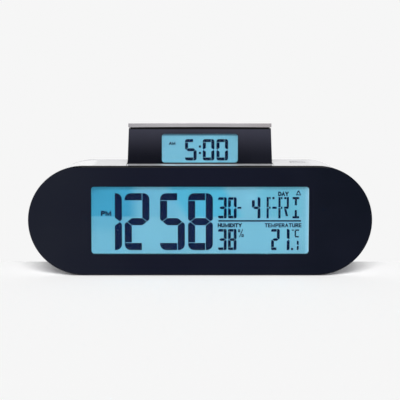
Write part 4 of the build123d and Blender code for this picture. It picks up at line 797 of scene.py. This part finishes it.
def popup_springs():
    """Two coil springs that lift the block, closed at both ends."""
    low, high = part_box("popup_springs")
    wire = 0.45 * MM
    coil_radius = 2.45 * MM
    turns = 7
    steps = 28  # in each turn
    inset = coil_radius + wire / 2
    spring_y = (low.y + high.y) / 2
    climb_height = high.z - low.z - 3 * wire  # the closed turn at each end rises by one wire
    for side, spring_x in (("left", low.x + inset), ("right", high.x - inset)):
        points = []
        for step in range(turns * steps + 1):
            wound = step / steps
            climb = min(max((wound - 1) / (turns - 2), 0), 1) * climb_height
            seat = (min(wound, 1) + max(wound - turns + 1, 0)) * wire
            turn = math.tau * wound
            points.append(Vector((spring_x + coil_radius * math.cos(turn),
                                  spring_y + coil_radius * math.sin(turn), low.z + wire / 2 + seat + climb)))
        name = f"spring_{side}"
        spring = add_mesh(name, tube(name, points, wire / 2), "case", "steel")
        follow_popup(spring)
        if side == "left":
            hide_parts("popup_springs")


def rounded(corners, radius):
    """The (y, z) corners with each inner one cut into a short curve."""
    steps = 4
    path = [corners[0]]
    for before, corner, after in zip(corners, corners[1:], corners[2:]):
        middle = Vector(corner)
        start = middle + (Vector(before) - middle).normalized() * radius
        end = middle + (Vector(after) - middle).normalized() * radius
        for step in range(steps + 1):
            share = step / steps
            point = (1 - share) ** 2 * start + 2 * share * (1 - share) * middle + share ** 2 * end
            path.append((point.x, point.y))
    path.append(corners[-1])
    return path


def popup_ribbon():
    """The block's flat cable, folded to and fro."""
    low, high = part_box("popup_ribbon_cable")
    folds = 6
    thickness = 0.3 * MM
    half = thickness / 2
    half_fold = (high.z - low.z - thickness) / folds / 2
    bend = min(half_fold, 1.2 * MM)
    ends = (low.y + half, high.y - half)
    corners = []
    for corner in range(1, 2 * folds + 1):
        end = ends[(corner + 1) // 2 % 2]  # two corners at the rear, two at the front, and so on
        corners.append((end, low.z + half + corner * half_fold))
    path = rounded(corners, bend)
    build = bmesh.new()
    rows = []
    for here, (y, z) in enumerate(path):
        before = Vector(path[max(here - 1, 0)])
        after = Vector(path[min(here + 1, len(path) - 1)])
        along = (after - before).normalized()
        off = Vector((-along.y, along.x)) * half
        rows.append([build.verts.new((x, y + sign * off.x, z + sign * off.y))
                     for x, sign in ((low.x, 1), (high.x, 1), (high.x, -1), (low.x, -1))])
    skin(build, rows)
    name = "popup_ribbon"
    ribbon = add_mesh(name, finished(build, name), "case", "inner_plastic")
    follow_popup(ribbon)
    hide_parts("popup_ribbon_cable")


# ---------------------------------------------------------------- camera, floor and light

PAPER = 0.9216  # brightness of the photograph's white surroundings


def camera():
    """The photograph's view: square on, from a little above and a few millimetres to the left."""
    aside = -8 * MM
    nudge = -0.1 * MM  # of the whole view, to the left
    eye_y = -824 * MM
    eye_height = 125.75 * MM
    distance = 800 * MM
    aim_height = 40.05 * MM
    data = bpy.data.cameras.new("camera")
    data.lens = 138.5
    data.sensor_width = 36
    data.shift_x = -aside / (distance * data.sensor_width / data.lens)
    view = bpy.data.objects.new("camera", data)
    view.location = (aside + nudge, eye_y, eye_height)
    aim = Vector((aside + nudge, eye_y + distance, aim_height))
    view.rotation_euler = (aim - view.location).to_track_quat("-Z", "Y").to_euler()
    bpy.context.scene.collection.objects.link(view)
    bpy.context.scene.camera = view


def floor():
    """A wide pale table top whose far edge is just behind the clock."""
    size = 60  # metres, so that its other edges are out of view
    far_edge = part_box("back_cover")[1].y + 3 * MM
    bpy.ops.mesh.primitive_plane_add(size=size, location=(0, far_edge - size / 2, 0))
    table = bpy.context.object
    table.name = "floor"
    finish = Finish("floor", [PAPER] * 3, roughness=0.9, specular=0.0)
    finish.mottle(size=0.5, colour=[0.998 * PAPER] * 3)
    table.data.materials.append(finish.material)


def world():
    """Paper white all round for the eye and for gloss; for light, a dome that is brighter in front."""
    behind, before = 0.9, -0.9  # directions along y between which the dome's light changes
    light_behind, light_before = 0.2, 0.55
    sky = bpy.data.worlds.new("studio")
    bpy.context.scene.world = sky
    sky.use_nodes = True
    tree = sky.node_tree
    tree.nodes.clear()

    def node(kind):
        return tree.nodes.new(kind)

    def link(source, target):
        tree.links.new(source, target)

    def either(first, second):
        """1 where one of two outputs is 1."""
        most = node("ShaderNodeMath")
        most.operation = "MAXIMUM"
        link(first, most.inputs[0])
        link(second, most.inputs[1])
        return most.outputs["Value"]

    rays = node("ShaderNodeLightPath").outputs
    seen = either(rays["Is Camera Ray"], either(rays["Is Glossy Ray"], rays["Is Transmission Ray"]))

    paper = node("ShaderNodeBackground")
    paper.inputs["Color"].default_value = (PAPER, PAPER, PAPER, 1)
    dome = node("ShaderNodeBackground")
    direction = node("ShaderNodeTexCoord")
    split = node("ShaderNodeSeparateXYZ")
    link(direction.outputs["Generated"], split.inputs["Vector"])
    front = node("ShaderNodeMapRange")
    front.inputs["From Min"].default_value = behind
    front.inputs["From Max"].default_value = before
    front.inputs["To Min"].default_value = light_behind
    front.inputs["To Max"].default_value = light_before
    link(split.outputs["Y"], front.inputs["Value"])
    link(front.outputs["Result"], dome.inputs["Strength"])

    mix = node("ShaderNodeMixShader")
    link(seen, mix.inputs["Fac"])
    link(dome.outputs["Background"], mix.inputs[1])
    link(paper.outputs["Background"], mix.inputs[2])
    out = node("ShaderNodeOutputWorld")
    link(mix.outputs["Shader"], out.inputs["Surface"])


def lamp():
    """One soft light from above and in front."""
    tilt = math.radians(57)  # from straight down
    turn = math.radians(-1)
    data = bpy.data.lights.new("softbox", "SUN")
    data.energy = 4.05
    data.angle = math.radians(28)
    softbox = bpy.data.objects.new("softbox", data)
    softbox.rotation_euler = (tilt, turn, 0)
    bpy.context.scene.collection.objects.link(softbox)


# ---------------------------------------------------------------- the scene

bpy.context.scene.view_settings.view_transform = "Standard"
camera()
world()
lamp()
floor()
dress_nodes()
display_words()
display_signs()
rear_words()
button_marks()
popup_springs()
popup_ribbon()

bpy.context.view_layer.update()
